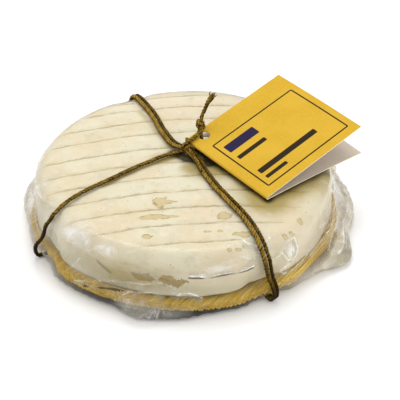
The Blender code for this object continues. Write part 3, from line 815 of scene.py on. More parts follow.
class CHEESE_OT_straw_mat(bpy.types.Operator):
    """Lay the straw mat"""

    bl_idname = "ridged_cheese.straw_mat"
    bl_label = "Straw mat"

    def execute(self, context):
        settings = context.scene.cheese_mat
        pattern = self.one_straw()
        pitch = settings.straw * 0.97
        rise_each = (MAT_THICKNESS - settings.straw) / max(1, settings.layers - 1)
        draw = random.Random(11)
        straws = []
        for layer in range(settings.layers):
            level = settings.straw / 2 + rise_each * layer
            rows = int(MAT_RADIUS / pitch) - 1
            for row in range(-rows, rows + 1):
                across = (row + 0.5 * (layer % 2)) * pitch
                if abs(across) < MAT_RADIUS - 0.6 * MM:
                    straws.append(self.laid(a_copy(pattern), across, level, settings, draw))
        mat = join(straws)
        bpy.data.objects.remove(pattern)
        work_on(mat)
        bpy.ops.object.shade_smooth_by_angle(angle=math.radians(45))
        finish_piece(mat, "straws", "straw_mat", straw_material(settings))
        return {"FINISHED"}

    def one_straw(self):
        """A hollow straw of length and radius 1 along Z, with cuts so that it can bend."""
        bpy.ops.object.select_all(action="DESELECT")
        bpy.ops.mesh.primitive_cylinder_add(vertices=8, radius=1, depth=1, location=(0, 0, 0))
        straw = added()
        edit(straw, "EDGE", lambda edge: abs(edge.verts[0].co.z - edge.verts[1].co.z) > 0.5)
        bpy.ops.mesh.subdivide(number_cuts=7)
        leave_edit()
        for way in (-1, 1):
            edit(straw, "FACE", lambda face: face.normal.z * way > 0.9)
            bpy.ops.mesh.inset(thickness=0.3)
            bpy.ops.mesh.extrude_region_move(TRANSFORM_OT_translate={"value": (0, 0, -0.012 * way)})
            leave_edit()
        points = points_of(straw)
        store(straw, "pit", (np.hypot(points[:, 0], points[:, 1]) < 0.8) * 1.0)
        return straw

    def laid(self, straw, across, level, settings, draw):
        """Moves one copy of the straw to its place in the mat."""
        points = points_of(straw)
        across += draw.uniform(-0.12, 0.12) * MM
        chord = math.sqrt(max(MAT_RADIUS**2 - across**2, (4 * MM) ** 2))
        ends = []
        for way in (-1, 1):
            angle = math.atan2(across, way * chord) + STRAW_ANGLE
            ends.append(way * (chord + float(pinched(angle, 0)) + draw.uniform(-0.45, 0.3) * MM))
        share = points[:, 2] + 0.5
        along = ends[0] + (ends[1] - ends[0]) * share
        girth = settings.straw / 2 * draw.uniform(0.86, 1.04)
        bow = draw.uniform(-0.35, 0.35) * MM * np.sin(share * math.pi)
        sway = draw.uniform(-0.3, 0.3) * MM * np.sin(share * TURN)
        beside = across + bow + sway + points[:, 0] * girth
        angle = np.arctan2(beside, along) + STRAW_ANGLE
        reach = np.hypot(beside, along) - pinched(angle, 0)
        swell = toward(angle, SWELL_ANGLE, SWELL_WIDTH) * rise(reach, SWELL_FROM, MAT_RADIUS)
        height = (level + points[:, 1] * girth) * (1 + SWELL * swell)
        height = height + mat_bottom(np.minimum(np.hypot(along, across), MAT_RADIUS))
        # Painted shade on the straws under the cheese's edge, strongest at the front
        tucked_shade = rise(reach, MAT_RADIUS - 0.4 * MM, MAT_RADIUS - 2.6 * MM)
        store(straw, "tucked_shade", tucked_shade * np.maximum(0.1, toward(angle, -100, 60)))
        turn = Matrix.Rotation(STRAW_ANGLE, 2)
        x = turn[0][0] * along + turn[0][1] * beside + AXIS.x
        y = turn[1][0] * along + turn[1][1] * beside + AXIS.y
        move_points(straw, np.stack([x, y, over_the_twine(x, y, height)], axis=1))
        store(straw, "straw", np.full(len(points), draw.random()))
        return straw


def over_the_twine(x, y, height):
    """Lifts what is low over the runs of twine that cross the underside."""
    for start, end, offset in ((RUN_A_FRONT, RUN_A_BACK, STRAND_OFFSET), (RUN_B_LEFT, RUN_B_RIGHT, 0)):
        first, last = down_side(start)[-1], down_side(end)[-1]
        run = (last - first).normalized()
        aside = np.abs((x - first.x) * run.y - (y - first.y) * run.x)
        least = UNDER_HEIGHT + TWINE_RADIUS + GAP + 0.15 * MM
        edge = offset + TWINE_RADIUS + GAP
        height = np.maximum(height, least * rise(aside, edge + 1.6 * MM, edge))
    return height


# The film


class FilmSettings(bpy.types.PropertyGroup):
    segments: IntProperty(name="Segments", description="Faces round the film", default=620, min=32)
    rings: IntProperty(name="Rings", description="Rings from the top's middle to the underside's", default=132)
    pleat: length("Pleats", "Height of the upright pleats in the side", 0.36 * MM)
    crumple: length("Crumple", "Height of the small creases", 0.15 * MM)
    haze: FloatProperty(name="Haze", description="How milky the film is where it lies double", default=0.4)
    tint: colour("Tint", "Colour of the light that the film scatters", (0.88, 0.85, 0.76))
    # The skirt's grey-beige is partly painted shade: it stands in for the shade under the skirt seen through the
    # film
    skirt: colour("Skirt", "Colour of the film where it stands off the table in many layers", (0.47, 0.435, 0.32))
    # Shade paints the shade below the folds and under the mat's edge
    shade: colour("Shade", "Dark lines beside the folds", (0.055, 0.042, 0.025))


# Fans of taut folds: angle and height in mm of the point that they spread from, first and last direction in
# degrees, how many, their length in mm and their height in mm
FANS = [
    (-107, 7.5, 150, 200, 7, 26, 0.9),
    (-107, 7.5, -20, 40, 6, 20, 0.8),
    (-104, 7.0, 60, 130, 5, 12, 0.7),
    (-62, 22.0, -25, 40, 6, 15, 1.1),
    (-63, 23.0, 150, 200, 4, 12, 0.7),
    (-60, 9.0, 5, 60, 5, 14, 0.8),
    (-148, 23.0, -70, 10, 6, 18, 0.6),
    (-150, 14.0, -60, 20, 5, 16, 0.6),
    (-178, 20.0, -120, -60, 6, 14, 0.8),
    (30, 22.0, -160, -20, 7, 16, 0.8),
    (116, 22.0, -160, -20, 7, 16, 0.7),
    (-14, 24.0, -110, -70, 5, 20, 0.9),
    (2, 24.0, -115, -65, 6, 20, 0.9),
    (-27, 24.0, -110, -60, 5, 20, 0.8),
]


# Single folds: the places that each runs through, as angle in degrees and height in mm, its width and height in
# mm, how bright the painted highlight along it is, partly the milky crease itself, and how dark the painted shade
# is that lies just below it
FOLDS = [
    (((178, 23), (-171, 24.8), (-160, 25.5), (-152, 27)), 1.0, 0.3, 0.7, 0.0),
    (((-173, 26), (-160, 26.5), (-151, 25)), 0.8, 0.2, 0.5, 0.0),
    (((167, 26), (174, 23), (173, 12)), 1.0, 0.5, 0.6, 0.0),
    (((-178, 10.5), (-168, 14), (-162, 12.8), (-154, 9.6)), 1.0, 0.5, 0.5, 0.0),
    (((-167, 22), (-160, 17), (-155, 10)), 0.9, 0.4, 0.5, 0.0),
    (((-128, 21.2), (-134, 10.6)), 0.9, 0.5, 0.55, 0.0),
    (((-128, 21.2), (-131, 14.5)), 0.8, 0.3, 0.5, 0.0),
    (((-128, 21.2), (-122.5, 24.8)), 0.9, 0.3, 0.6, 0.0),
    (((-128, 21.2), (-133.5, 23.5)), 0.9, 0.3, 0.5, 0.0),
    (((-128, 21.2), (-117.5, 19.6), (-108, 19.9), (-99, 19.1), (-90, 18.7)), 1.3, 0.9, 0.28, 0.35),
    (((-89.5, 19.2), (-83, 18.9), (-74.5, 19.4), (-65, 18.4)), 0.9, 1.0, 1.3, 1.0),
    (((-69, 24.3), (-76, 23.6), (-83, 21.4), (-89.5, 19.2)), 1.3, 0.4, 0.45, 0.0),
    (((-86, 20.2), (-80, 20.4), (-74, 21.2)), 1.4, 0.3, 0.5, 0.0),
    (((-56, 26.5), (-58.5, 26.0), (-57.5, 25.0)), 0.9, 0.5, 0.9, 0.0),
    (((-60.5, 24.6), (-65.5, 27.0), (-67, 27.9)), 0.9, 0.6, 0.9, 0.3),
    (((-60.5, 22.8), (-66, 22.3), (-69, 24)), 0.8, 0.5, 0.7, 0.3),
    (
        ((-47, 23.7), (-45.5, 17.3), (-47.5, 14.2), (-51, 15.6), (-53.5, 20), (-49.5, 23.7), (-47, 23.7)),
        0.8, 1.0, 1.1, 0.5,
    ),
    (((-48.5, 23.3), (-50, 19.4), (-49.5, 15.8)), 0.9, 0.7, 0.4, 0.5),
    (((-56.5, 16.9), (-54, 18.9)), 0.8, 0.5, 0.7, 0.3),
    (((-56, 10.5), (-51.5, 13)), 0.8, 0.5, 0.6, 0.0),
    (((-55.5, 10.7), (-48.5, 13.5)), 0.8, 0.5, 0.5, 0.0),
    (
        ((-130.5, 7.6), (-117.5, 12.3), (-109.5, 15), (-103, 15.4), (-97.5, 16), (-93.5, 13.7), (-92.5, 11.1)),
        0.8, 0.9, 0.55, 0.5,
    ),
    (((-126.5, 8.2), (-118, 10.2), (-111, 11.8), (-105, 12.6), (-97.5, 12)), 0.8, 0.5, 0.2, 1.2),
    (((-122, 9.8), (-112, 13.0), (-104, 13.8), (-97, 13.2)), 0.8, 0.4, 0.2, 0.7),
    (((-112, 8.9), (-109, 11.6), (-102.5, 12.3), (-97.5, 10.7)), 0.8, 0.6, 0.7, 0.2),
    (((-108.5, 8.4), (-105.5, 12), (-102, 12), (-98, 10.7)), 0.7, 0.5, 0.6, 0.0),
    (((-106.5, 6.7), (-104.5, 8.2), (-101, 9.5), (-97.5, 10.7)), 0.7, 0.5, 0.6, 0.3),
    (((-97.5, 10.7), (-97, 4)), 0.7, 0.5, 0.6, 0.0),
    (((-97.5, 10.7), (-102, 3)), 0.8, 0.6, 0.7, 0.0),
    (((-97.5, 10.7), (-104.5, 3.0), (-106, 1.5)), 0.8, 0.6, 0.6, 0.0),
    (((-97.5, 10.7), (-94.5, 4.5)), 0.7, 0.5, 0.5, 0.0),
    (((-97.5, 10.7), (-99, 5.0), (-99.5, 2)), 0.7, 0.5, 0.5, 0.3),
    (((-94.5, 12.4), (-93, 11.1), (-92, 11.6)), 1.1, 0.9, 1.0, 0.5),
    (((-92.5, 11.7), (-89, 12), (-84.5, 10)), 0.9, 0.8, 0.7, 0.5),
    (((-97, 7.5), (-88, 7.0), (-78, 8.5)), 0.9, 0.3, 0.25, 0.0),
    (((-10, 25), (-14.5, 24.5), (-23, 20.8), (-31.5, 16.9), (-44, 11.1), (-54.5, 10)), 1.0, 0.6, 0.55, 0.0),
    (((-8, 22), (-12, 18), (-20, 15.4), (-30, 14.3), (-40, 11.1)), 0.8, 0.6, 0.6, 0.2),
    (((-6, 26), (-18, 21.5), (-29, 19.5), (-38, 16.0)), 0.8, 0.4, 0.4, 0.0),
    (((5, 20), (5, 10.1), (-10, 9), (-20.5, 9.5), (-30.5, 7.4)), 0.9, 0.7, 0.6, 0.2),
    (((-14.5, 24), (-14.5, 11.9), (-26.5, 12.8), (-32, 9.8)), 0.8, 0.6, 0.6, 0.2),
    (((10, 20), (8, 6.1), (-12, 6.3), (-25.5, 6)), 0.9, 0.7, 0.6, 0.2),
    (((-13, 27.7), (-14.5, 23.5)), 0.9, 0.5, 0.7, 0.0),
    (((-41, 5.5), (-33, 2.8), (-27, 2.3)), 0.8, 0.5, 0.5, 0.3),
    (((2, 25), (3, 15), (1, 4)), 0.8, 0.5, 0.4, 0.2),
    (((14, 25), (15, 19), (16.5, 13), (21, 6)), 0.9, 0.6, 0.35, 0.0),
    (((24, 26), (22, 19), (20.5, 12), (22, 7), (26, 4)), 0.8, 0.5, 0.35, 0.0),
    (((58, 26), (61, 20), (68, 13.5), (70, 8)), 0.9, 0.6, 0.35, 0.1),
    (((82, 26), (85, 21), (92, 15), (97, 11), (98, 5)), 0.9, 0.6, 0.35, 0.1),
    (((133, 24), (136, 18), (140.5, 12), (141, 6)), 0.9, 0.6, 0.35, 0.1),
    (((150, 12), (146, 9), (138, 9.5), (128, 14), (122, 20)), 0.9, 0.5, 0.3, 0.1),
]


# Places where the film catches the light: angle in degrees, height, half the length and height in mm, strength.
# The first one is the curled leaf of film, which also stands up
SHINING = [
    (-49.3, 18.8, 5.0, 6.0, 0.80),
    (-133.0, 24.5, 15.0, 5.8, 0.85),
    (-120.0, 24.6, 11.0, 4.2, 0.70),
    (-78.0, 21.6, 12.0, 3.6, 0.46),
    (-165.0, 24.0, 9.0, 4.0, 0.35),
]


def film_meridian(rings):
    """The film where it is smooth, as radius, height and the outward direction, from the top's middle down
    the side and back to the underside's middle."""
    side, foot = CHEESE_RADIUS, FILM_FOOT
    knots = [(share * (side - 9.5 * MM), None) for share in np.linspace(0, 1, 16)]
    knots += [(side - 4.4 * MM, 27.65 * MM), (side - 1.7 * MM, 25.9 * MM), (side - 0.05 * MM, 23.2 * MM)]
    knots += [(side + 0.6 * MM, 20.0 * MM), (side + 1.1 * MM, 16.0 * MM), (side + 1.9 * MM, 12.0 * MM)]
    knots += [(foot - 0.6 * MM, 7.8 * MM), (foot, 4.8 * MM), (foot - 0.5 * MM, 2.4 * MM)]
    knots += [(foot - 2.4 * MM, 0.8 * MM), (foot - 6 * MM, 0.12 * MM)]
    knots += [(share * (foot - 10 * MM), 0.1 * MM) for share in np.linspace(1, 0, 8)]
    line = [Vector((r, crest(AXIS.x + r, AXIS.y) + FILM_LIFT if z is None else z, 0)) for r, z in knots]
    fine = np.array([list(point)[:2] for point in smooth_line(line, 10)])
    steps = np.linalg.norm(np.diff(fine, axis=0), axis=1)
    middle = (fine[1:] + fine[:-1]) / 2
    density = np.where(middle[:, 0] < side - 12 * MM, 0.75, 1.6)
    density = np.where((middle[:, 1] < 0.5 * MM) & (middle[:, 0] < foot - 8 * MM), 0.35, density)
    run = np.concatenate([[0], np.cumsum(steps * density)])
    places = np.linspace(0, run[-1], rings + 1)
    radius, height = (np.interp(places, run, fine[:, i]) for i in (0, 1))
    out = np.stack([-np.gradient(height), np.gradient(radius)], axis=1)
    out /= np.linalg.norm(out, axis=1)[:, None]
    return np.maximum(radius, 0), height, out


def on_cylinder(angle, height):
    """The places at which noise on the film is read: an upright cylinder, so that folds don't change it."""
    return np.stack([NOISE_RADIUS * np.cos(angle), NOISE_RADIUS * np.sin(angle), height], axis=1)


def on_side(angle, height, degrees, level, half_length, half_height):
    """1 in the middle of an oval place on the side, falling smoothly to 0 at its outline."""
    across = turn_between(angle, math.radians(degrees)) * CHEESE_RADIUS / MM
    return hill(np.hypot(across / half_length, (height / MM - level) / half_height), 1.0)


def crease(arc, height, start, end, width):
    """1 along the straight fold from start to end, falling in a sharp ridge to 0 at width."""
    run = np.array(end) - np.array(start)
    share = np.clip(((arc - start[0]) * run[0] + (height - start[1]) * run[1]) / (run @ run), 0, 1)
    away = np.hypot(arc - start[0] - share * run[0], height - start[1] - share * run[1])
    return np.maximum(0, 1 - away / width) ** 1.3 * np.sqrt(np.maximum(0, 1 - share))


def along_fold(angle, height, places):
    """Distance of each point from a fold's line, above 0 over it and below 0 under it, and how far the point
    is past the fold's ends, in mm."""
    signed = np.full(len(angle), 1e3)
    past = np.zeros(len(angle))
    way = 1 if turn_between(math.radians(places[-1][0]), math.radians(places[0][0])) >= 0 else -1
    last = len(places) - 2
    for number, ((a, low), (b, high)) in enumerate(zip(places, places[1:])):
        run = np.array([turn_between(math.radians(b), math.radians(a)) * CHEESE_RADIUS / MM, high - low])
        across = turn_between(angle, math.radians(a)) * CHEESE_RADIUS / MM
        up = height / MM - low
        share = (across * run[0] + up * run[1]) / (run @ run)
        held = np.clip(share, 0, 1)
        away = np.hypot(across - held * run[0], up - held * run[1])
        side = np.where(run[0] * up - run[1] * across >= 0, way, -way)
        over = np.where((share < 0) & (number == 0) | (share > 1) & (number == last), np.abs(share - held), 0)
        nearer = away < np.abs(signed)
        past = np.where(nearer, over * np.linalg.norm(run), past)
        signed = np.where(nearer, side * away, signed)
    return signed, past


class CHEESE_OT_film(bpy.types.Operator):
    """Wrap the clear film"""

    bl_idname = "ridged_cheese.film"
    bl_label = "Clear film"

    def execute(self, context):
        settings = context.scene.cheese_film
        bpy.ops.object.select_all(action="DESELECT")
        bpy.ops.mesh.primitive_uv_sphere_add(
            segments=settings.segments, ring_count=settings.rings, radius=1, location=(0, 0, 0)
        )
        film = added()
        ball = points_of(film)
        angle = np.arctan2(ball[:, 1], ball[:, 0])
        ring = np.rint(np.arccos(np.clip(ball[:, 2], -1, 1)) / math.pi * settings.rings).astype(int)
        radius, height, out = (values[ring] for values in film_meridian(settings.rings))
        marks, raised = self.single_folds(angle, radius, height)
        radius, height, lift = self.folded(angle, radius, height, out, raised, settings)
        x, y = AXIS.x + radius * np.cos(angle), AXIS.y + radius * np.sin(angle)
        under = height < 3 * MM
        height = np.where(under, over_the_twine(x, y, np.maximum(height, FILM_FLOOR)), height)
        move_points(film, np.stack([x, y, height], axis=1))
        marks = {**self.milkiness(angle, radius, height, lift), **marks}
        marks["under"] = self.under_mat(angle, radius, height)
        for name, values in marks.items():
            store(film, name, values)
        bpy.ops.object.shade_smooth()
        finish_piece(film, "film_skin", "film", film_material(settings))
        return {"FINISHED"}

    def single_folds(self, angle, radius, height):
        """What the material needs to draw the single folds, with their painted highlights and the painted shade
        below them, and how far they raise the film.
        """
        here = on_cylinder(angle, height)
        sway = 0.3 * clouds(here, 15 * MM, 31, 2)
        off = np.full(len(angle), 9.0)
        white, shade, raised = (np.zeros(len(angle)) for _ in range(3))
        for places, width, tall, brightness, darkness in FOLDS:
            signed, past = along_fold(angle, height + sway * MM, places)
            away = np.abs(signed)
            ending = np.maximum(0, 1 - past / 0.9)
            nearer = away < np.abs(off)
            # Painted highlight along each fold, partly the milky crease, and painted shade just below it
            white = np.where(nearer, brightness**1.35 * ending * rise(away, 1.9, 1.1), white)
            shade = np.where(nearer, darkness * ending * rise(away, 3.0, 2.0), shade)
            off = np.where(nearer, signed, off)
            raised = np.maximum(raised, tall * MM * np.maximum(0, 1 - away / width) ** 1.3)
        glints = [on_side(angle, height, *place[:4]) for place in SHINING]
        shine = np.max([place[4] * near for place, near in zip(SHINING, glints)], axis=0)
        shine = shine * rise(radius, CHEESE_RADIUS - 12 * MM, CHEESE_RADIUS - 6 * MM)
        uneven = np.clip(0.78 + 0.95 * clouds(here, 6 * MM, 35, 2), 0.22, 1)
        outer = rise(height, 0.6 * MM, 2 * MM) * rise(radius, CHEESE_RADIUS - 7 * MM, CHEESE_RADIUS - 4.5 * MM)
        marks = {"off": off, "white": white * outer * uneven, "shade": shade * outer * uneven, "shine": shine}
        return marks, (raised + LEAF_LIFT * glints[0]) * outer

    def under_mat(self, angle, radius, height):
        """The deep shade on the film's floor under the mat's curled edge, which shows through the skirt."""
        front = np.sqrt(toward(angle, -96, 60))
        return front * rise(height, 1.9 * MM, 1.0 * MM) * rise(radius, FILM_FOOT + 5.5 * MM, FILM_FOOT)

    def folded(self, angle, radius, height, out, raised, settings):
        """The film's skirt, gather, pleats, fans of folds and small creases, pushed along its outward side."""
        free = 1 - near_twine(angle)
        low = np.clip(1 - height / (20.5 * MM), 0, 1)
        inner = rise(radius, 0.72 * FILM_FOOT, 0.93 * FILM_FOOT)
        skirt = sum(reach * MM * toward(angle, degrees, half_width) for degrees, half_width, reach in SKIRT_FOLDS)
        gather = GATHER_REACH * toward(angle, GATHER_ANGLE, GATHER_WIDTH)
        push = pinched(angle, height) * np.minimum(1, 2 * radius / CHEESE_RADIUS)
        push = push + free * (skirt * low**1.25 + gather * np.minimum(1, 2.2 * low)) * inner
        side = rise(radius, CHEESE_RADIUS - 4 * MM, CHEESE_RADIUS) * rise(height, 0.3 * MM, 2 * MM)
        here = on_cylinder(angle, height)
        slow = clouds(here, 30 * MM, 2, 2)
        phase = 46 * angle + 5.0 * slow + 2.0 * clouds(here, 9 * MM, 6, 2)
        pleats = (1 - np.abs(np.sin(phase)) - 0.35) * (0.45 + 0.8 * np.abs(slow)) * (0.4 + 1.2 * low)
        small = np.abs(clouds(here, 7 * MM, 9, 3)) + 0.5 * np.abs(clouds(here, 2.6 * MM, 14, 2))
        calm = 1 - 0.75 * toward(angle, -25, 40)
        lift = settings.pleat * pleats * side * (0.35 + 0.65 * free) * calm
        lift = lift + settings.crumple * (small - 0.2) * side * calm
        for place, start, end, width, tall in self.fan_folds():
            away = turn_between(angle, place / CHEESE_RADIUS) * CHEESE_RADIUS + place
            lift = lift + 0.75 * tall * crease(away, height, start, end, width) * rise(height, 0.5 * MM, 3 * MM)
        lift = np.maximum(lift, -0.35 * MM) + raised
        lift = np.minimum(lift, 0.45 * MM + 3 * MM * free)
        lift = lift * rise(radius, CHEESE_RADIUS - 12 * MM, CHEESE_RADIUS - 3 * MM)
        return radius + push + lift * out[:, 0], height + lift * out[:, 1], lift

    def fan_folds(self):
        """Each fold of each fan: the fan's place along the rim, the fold's start and end, width and height."""
        draw = random.Random(23)
        for degrees, level, first, last, count, reach, tall in FANS:
            place = math.radians(degrees) * CHEESE_RADIUS
            for step in range(count):
                way = math.radians(first + (last - first) * (step + draw.uniform(0.1, 0.9)) / count)
                far = reach * MM * draw.uniform(0.55, 1.1)
                start = (place + math.cos(way) * 1.2 * MM, level * MM + math.sin(way) * 1.2 * MM)
                end = (place + math.cos(way) * far, level * MM + math.sin(way) * far)
                yield place, start, end, draw.uniform(0.9, 1.9) * MM, tall * MM * draw.uniform(0.5, 1.1)

    def milkiness(self, angle, radius, height, lift):
        """How milky the film is, how much of that takes the skirt's grey, which is partly painted shade, and how
        slack it lies.
        """
        patchy = np.clip(0.55 + 0.9 * clouds(on_cylinder(angle, height), 11 * MM, 33, 3), 0, 1.4)
        side = rise(radius, CHEESE_RADIUS - 9 * MM, CHEESE_RADIUS)
        gather = toward(angle, GATHER_ANGLE, 11) * rise(height, 14 * MM, 7 * MM)
        gather = gather * (0.25 + 0.75 * rise(height, 0.8 * MM, 2.5 * MM))
        skirt = rise(radius, FILM_FOOT + 0.5 * MM, FILM_FOOT + 3.5 * MM)
        thick = np.maximum(toward(angle, -25, 38), toward(angle, -100, 40))
        left = toward(angle, -172, 42) * side * (0.5 + 0.5 * rise(height, 7 * MM, 12 * MM))
        shoulder = toward(angle, -131, 15) * rise(height, 8 * MM, 13 * MM) * side
        right = toward(angle, -8, 40) * side * (1 - 0.75 * rise(height, 18 * MM, 23 * MM))
        over_mat = toward(angle, -40, 22) + 1.2 * toward(angle, -98, 13)
        over_mat = over_mat * hill(height - 5 * MM, 5 * MM) * side
        behind = toward(angle, 90, 110) * side
        shown = 0.03 * side + 0.46 * left + 0.30 * shoulder + 0.16 * right + 0.22 * behind + 0.5 * over_mat
        shown = shown * patchy + 0.15 * gather + (0.32 + 0.48 * thick) * skirt
        shown = shown + 0.10 * side * np.clip(lift / MM, 0, 1)
        loose = [0.10 * side, 0.5 * skirt, 0.5 * gather, 0.45 * left, 0.4 * shoulder, right, behind]
        # The skirt share sets how much of the milk takes the skirt's grey, partly painted shade
        found = {"haze": shown, "skirt": skirt * (0.12 + 0.88 * thick), "slack": np.maximum.reduce(loose)}
        return {name: np.clip(values, 0, 1) for name, values in found.items()}


def film_material(settings):
    paint = Paint("clear_film")
    white, slack, off = paint.stored("white"), paint.stored("slack"), paint.stored("off")
    fine = paint.noise(2.4 * MM, 3, 0.55, 0.4)
    broad = paint.noise(9 * MM, 3, 0.5, 0.6)
    crinkle = (abs(fine - 0.5) * 0.7 + abs(broad - 0.5) * 2.4) * slack
    normal = paint.bump(crinkle, 0.45, 0.5 * MM)
    facet = paint.cells(8 * MM, "DISTANCE_TO_EDGE", paint.mapped((1, 1, 1.9)))
    facet = facet + (paint.noise(6 * MM, 2) - 0.5) * 0.05
    # White lines along the crinkles' edges and the folds, and the shining places: painted highlights, partly
    # milky creases
    crease = paint.fall(facet, 0.0, 0.028) * slack * paint.blots(7 * MM, 0.45, 0.60, 3, 0.6)
    sharp = white * paint.fall(abs(off), 0.06, 0.40) * (0.55 + 0.9 * paint.rise(fine, 0.40, 0.62))
    soft = white * paint.fall(abs(off), 0.2, 1.5) * 0.32
    shine = paint.stored("shine") * (0.6 + 0.7 * paint.rise(broad, 0.35, 0.65))
    lines = paint.larger(sharp, soft, crease * 0.5, shine)
    # Painted shade below the folds and under the mat's edge
    dark = paint.larger(paint.stored("shade") * paint.fall(abs(off + 1.0), 0.15, 0.85), paint.stored("under"))
    mirror = paint.node("ShaderNodeFresnel", None, {"IOR": 1.5, "Normal": normal})
    clear = paint.node("ShaderNodeBsdfTransparent", None, {"Color": (0.985, 0.985, 0.98)})
    gloss = paint.node("ShaderNodeBsdfGlossy", None, {"Color": (1, 1, 1), "Roughness": 0.12, "Normal": normal})
    tint = paint.layered(
        settings.tint,
        (paint.fall(paint.coordinate("X"), -60 * MM, -46 * MM), (0.97, 0.945, 0.87)),
        # the skirt's grey, partly painted shade
        (paint.stored("skirt"), settings.skirt),
        # painted highlights, partly milky creases
        (paint.smaller(lines * 1.6, 1.0), (0.97, 0.955, 0.885)),
        # painted shade
        (paint.smaller(dark * 1.4, 1.0), settings.shade),
    )
    milk = paint.shader(Base_Color=tint, Roughness=0.4, Normal=normal, Specular_IOR_Level=0.2)
    sheen = paint.either(paint.smaller(mirror * (0.35 + 0.9 * slack), 0.85), clear, gloss)
    veil = paint.stored("haze") * (0.6 + 0.8 * paint.rise(broad, 0.35, 0.75)) * settings.haze * 2.0
    veil = paint.larger(veil, lines * 0.85, dark * 0.85)
    return paint.done(paint.either(paint.smaller(veil, 0.92), sheen, milk))


# The twine


class TwineSettings(bpy.types.PropertyGroup):
    ply: length("Ply", "Radius of one ply of the twine", 0.53 * MM)
    lay: length("Lay", "Length of one turn of the plies", 4.6 * MM)
    spacing: length("Mesh spacing", "Distance between the rings of a ply", 0.62 * MM)
    gold: colour("Gold", "Waxed fibres in the light", (0.44, 0.28, 0.045))
    brown: colour("Brown", "Main colour of the twine", (0.125, 0.060, 0.0015))
    # Dark also paints the shade between the plies and under each cord
    dark: colour("Dark", "Between the plies", (0.012, 0.004, 0.0003))


def over_top(x, y):
    """A point of the twine's middle line where it lies on the ridges, from mm beside the knot's ground point."""
    place = spot(x, y)
    place.z = float(crest(place.x, place.y)) + TWINE_RADIUS + GAP
    return place


def down_side(arm):
    """The twine's middle line from the rim to the underside."""
    away = TWINE_RADIUS + 2.5 * GAP
    side, foot = CHEESE_RADIUS + 0.9 * MM, FILM_FOOT
    steps = [(side - 3.1 * MM, CHEESE_TOP - 1.5 * MM), (side - 1.5 * MM, CHEESE_TOP - 5.0 * MM)]
    steps += [(side, 20.5 * MM), (side + 0.3 * MM, 16 * MM), (side + 1.3 * MM, 12 * MM)]
    steps += [(foot - 0.4 * MM, 7.8 * MM), (foot, 3.6 * MM)]
    steps += [(foot - 0.5 * MM, 1.7 * MM), (foot - 2.0 * MM, UNDER_HEIGHT)]
    middle = []
    for radius, height in steps:
        angle = arm[1] + (arm[0] - arm[1]) * max(0.0, height - SLANT_FROM) / (CHEESE_TOP - SLANT_FROM)
        reach = radius + away + float(unevenness(angle)) - pinch(height)
        middle.append(AXIS + Vector((math.cos(angle) * reach, math.sin(angle) * reach, height)))
    return middle


def run_a():
    """The doubled run, from beside the knot to the front, under the pack and back over its far rim."""
    front_places = ((5.6, -1.4), (8.6, -10.6), (12.7, -21.8), (17.6, -31.9), (23.0, -42.5), (26.8, -51.6))
    back_places = ((-20.9, 50.0), (-17.4, 43.5), (-12.6, 32.6), (-8.6, 20.8), (-4.0, 10.2))
    front, back = ([over_top(x, y) for x, y in places] for places in (front_places, back_places))
    return [KNOT] + front + down_side(RUN_A_FRONT) + down_side(RUN_A_BACK)[::-1] + back + [KNOT]


def run_b():
    """The single run, from under the knot to the left, below the pack and back from the right."""
    left_places = (KNOT_PLACE, (-8.4, 0.5), (-20.8, -8.0), (-31.1, -16.1), (-41.2, -23.9), (-47.4, -30.3))
    right_places = ((50.2, 27.0), (44.0, 24.0), (28.0, 15.2), (13.0, 7.6), KNOT_PLACE)
    left, right = ([over_top(x, y) for x, y in places] for places in (left_places, right_places))
    return left + down_side(RUN_B_LEFT) + down_side(RUN_B_RIGHT)[::-1] + right


def beside(line, offset):
    """One strand of the doubled run, moved aside from the run's middle line, and less so at the foot."""
    run = down_side(RUN_A_BACK)[-1] - down_side(RUN_A_FRONT)[-1]
    side = Vector((-run.y, run.x, 0)).normalized() * offset
    strand = []
    for point in line:
        apart = 0.6 + 0.4 * float(rise(point.z, 3 * MM, 18 * MM))
        strand.append(point + side * apart + bow(point))
    return strand


def bow(point):
    """How far the doubled run bows aside between the knot and the front, and behind the knot."""
    x = FRONT_BOW * hill(point.y - FRONT_BOW_AT, FRONT_BOW_WIDTH)
    x = x - BACK_BOW * hill(point.y - BACK_BOW_AT, BACK_BOW_WIDTH)
    return Vector((float(x) * (point.z > 3 * MM), 0, 0))


def card_axes():
    """The card's depth, its fold and the normal of its upper leaf, as unit vectors."""
    deep = (CARD_FAR - CARD_CORNER).normalized()
    wide = CARD_FRONT - CARD_CORNER
    wide = (wide - deep * wide.dot(deep)).normalized()
    return deep, wide, wide.cross(deep)


def on_card(along, across, above):
    """A point from its place on the card in mm: along its depth, along its fold, above its upper leaf."""
    deep, wide, normal = card_axes()
    return CARD_CORNER + deep * along * MM + wide * across * MM + normal * above * MM


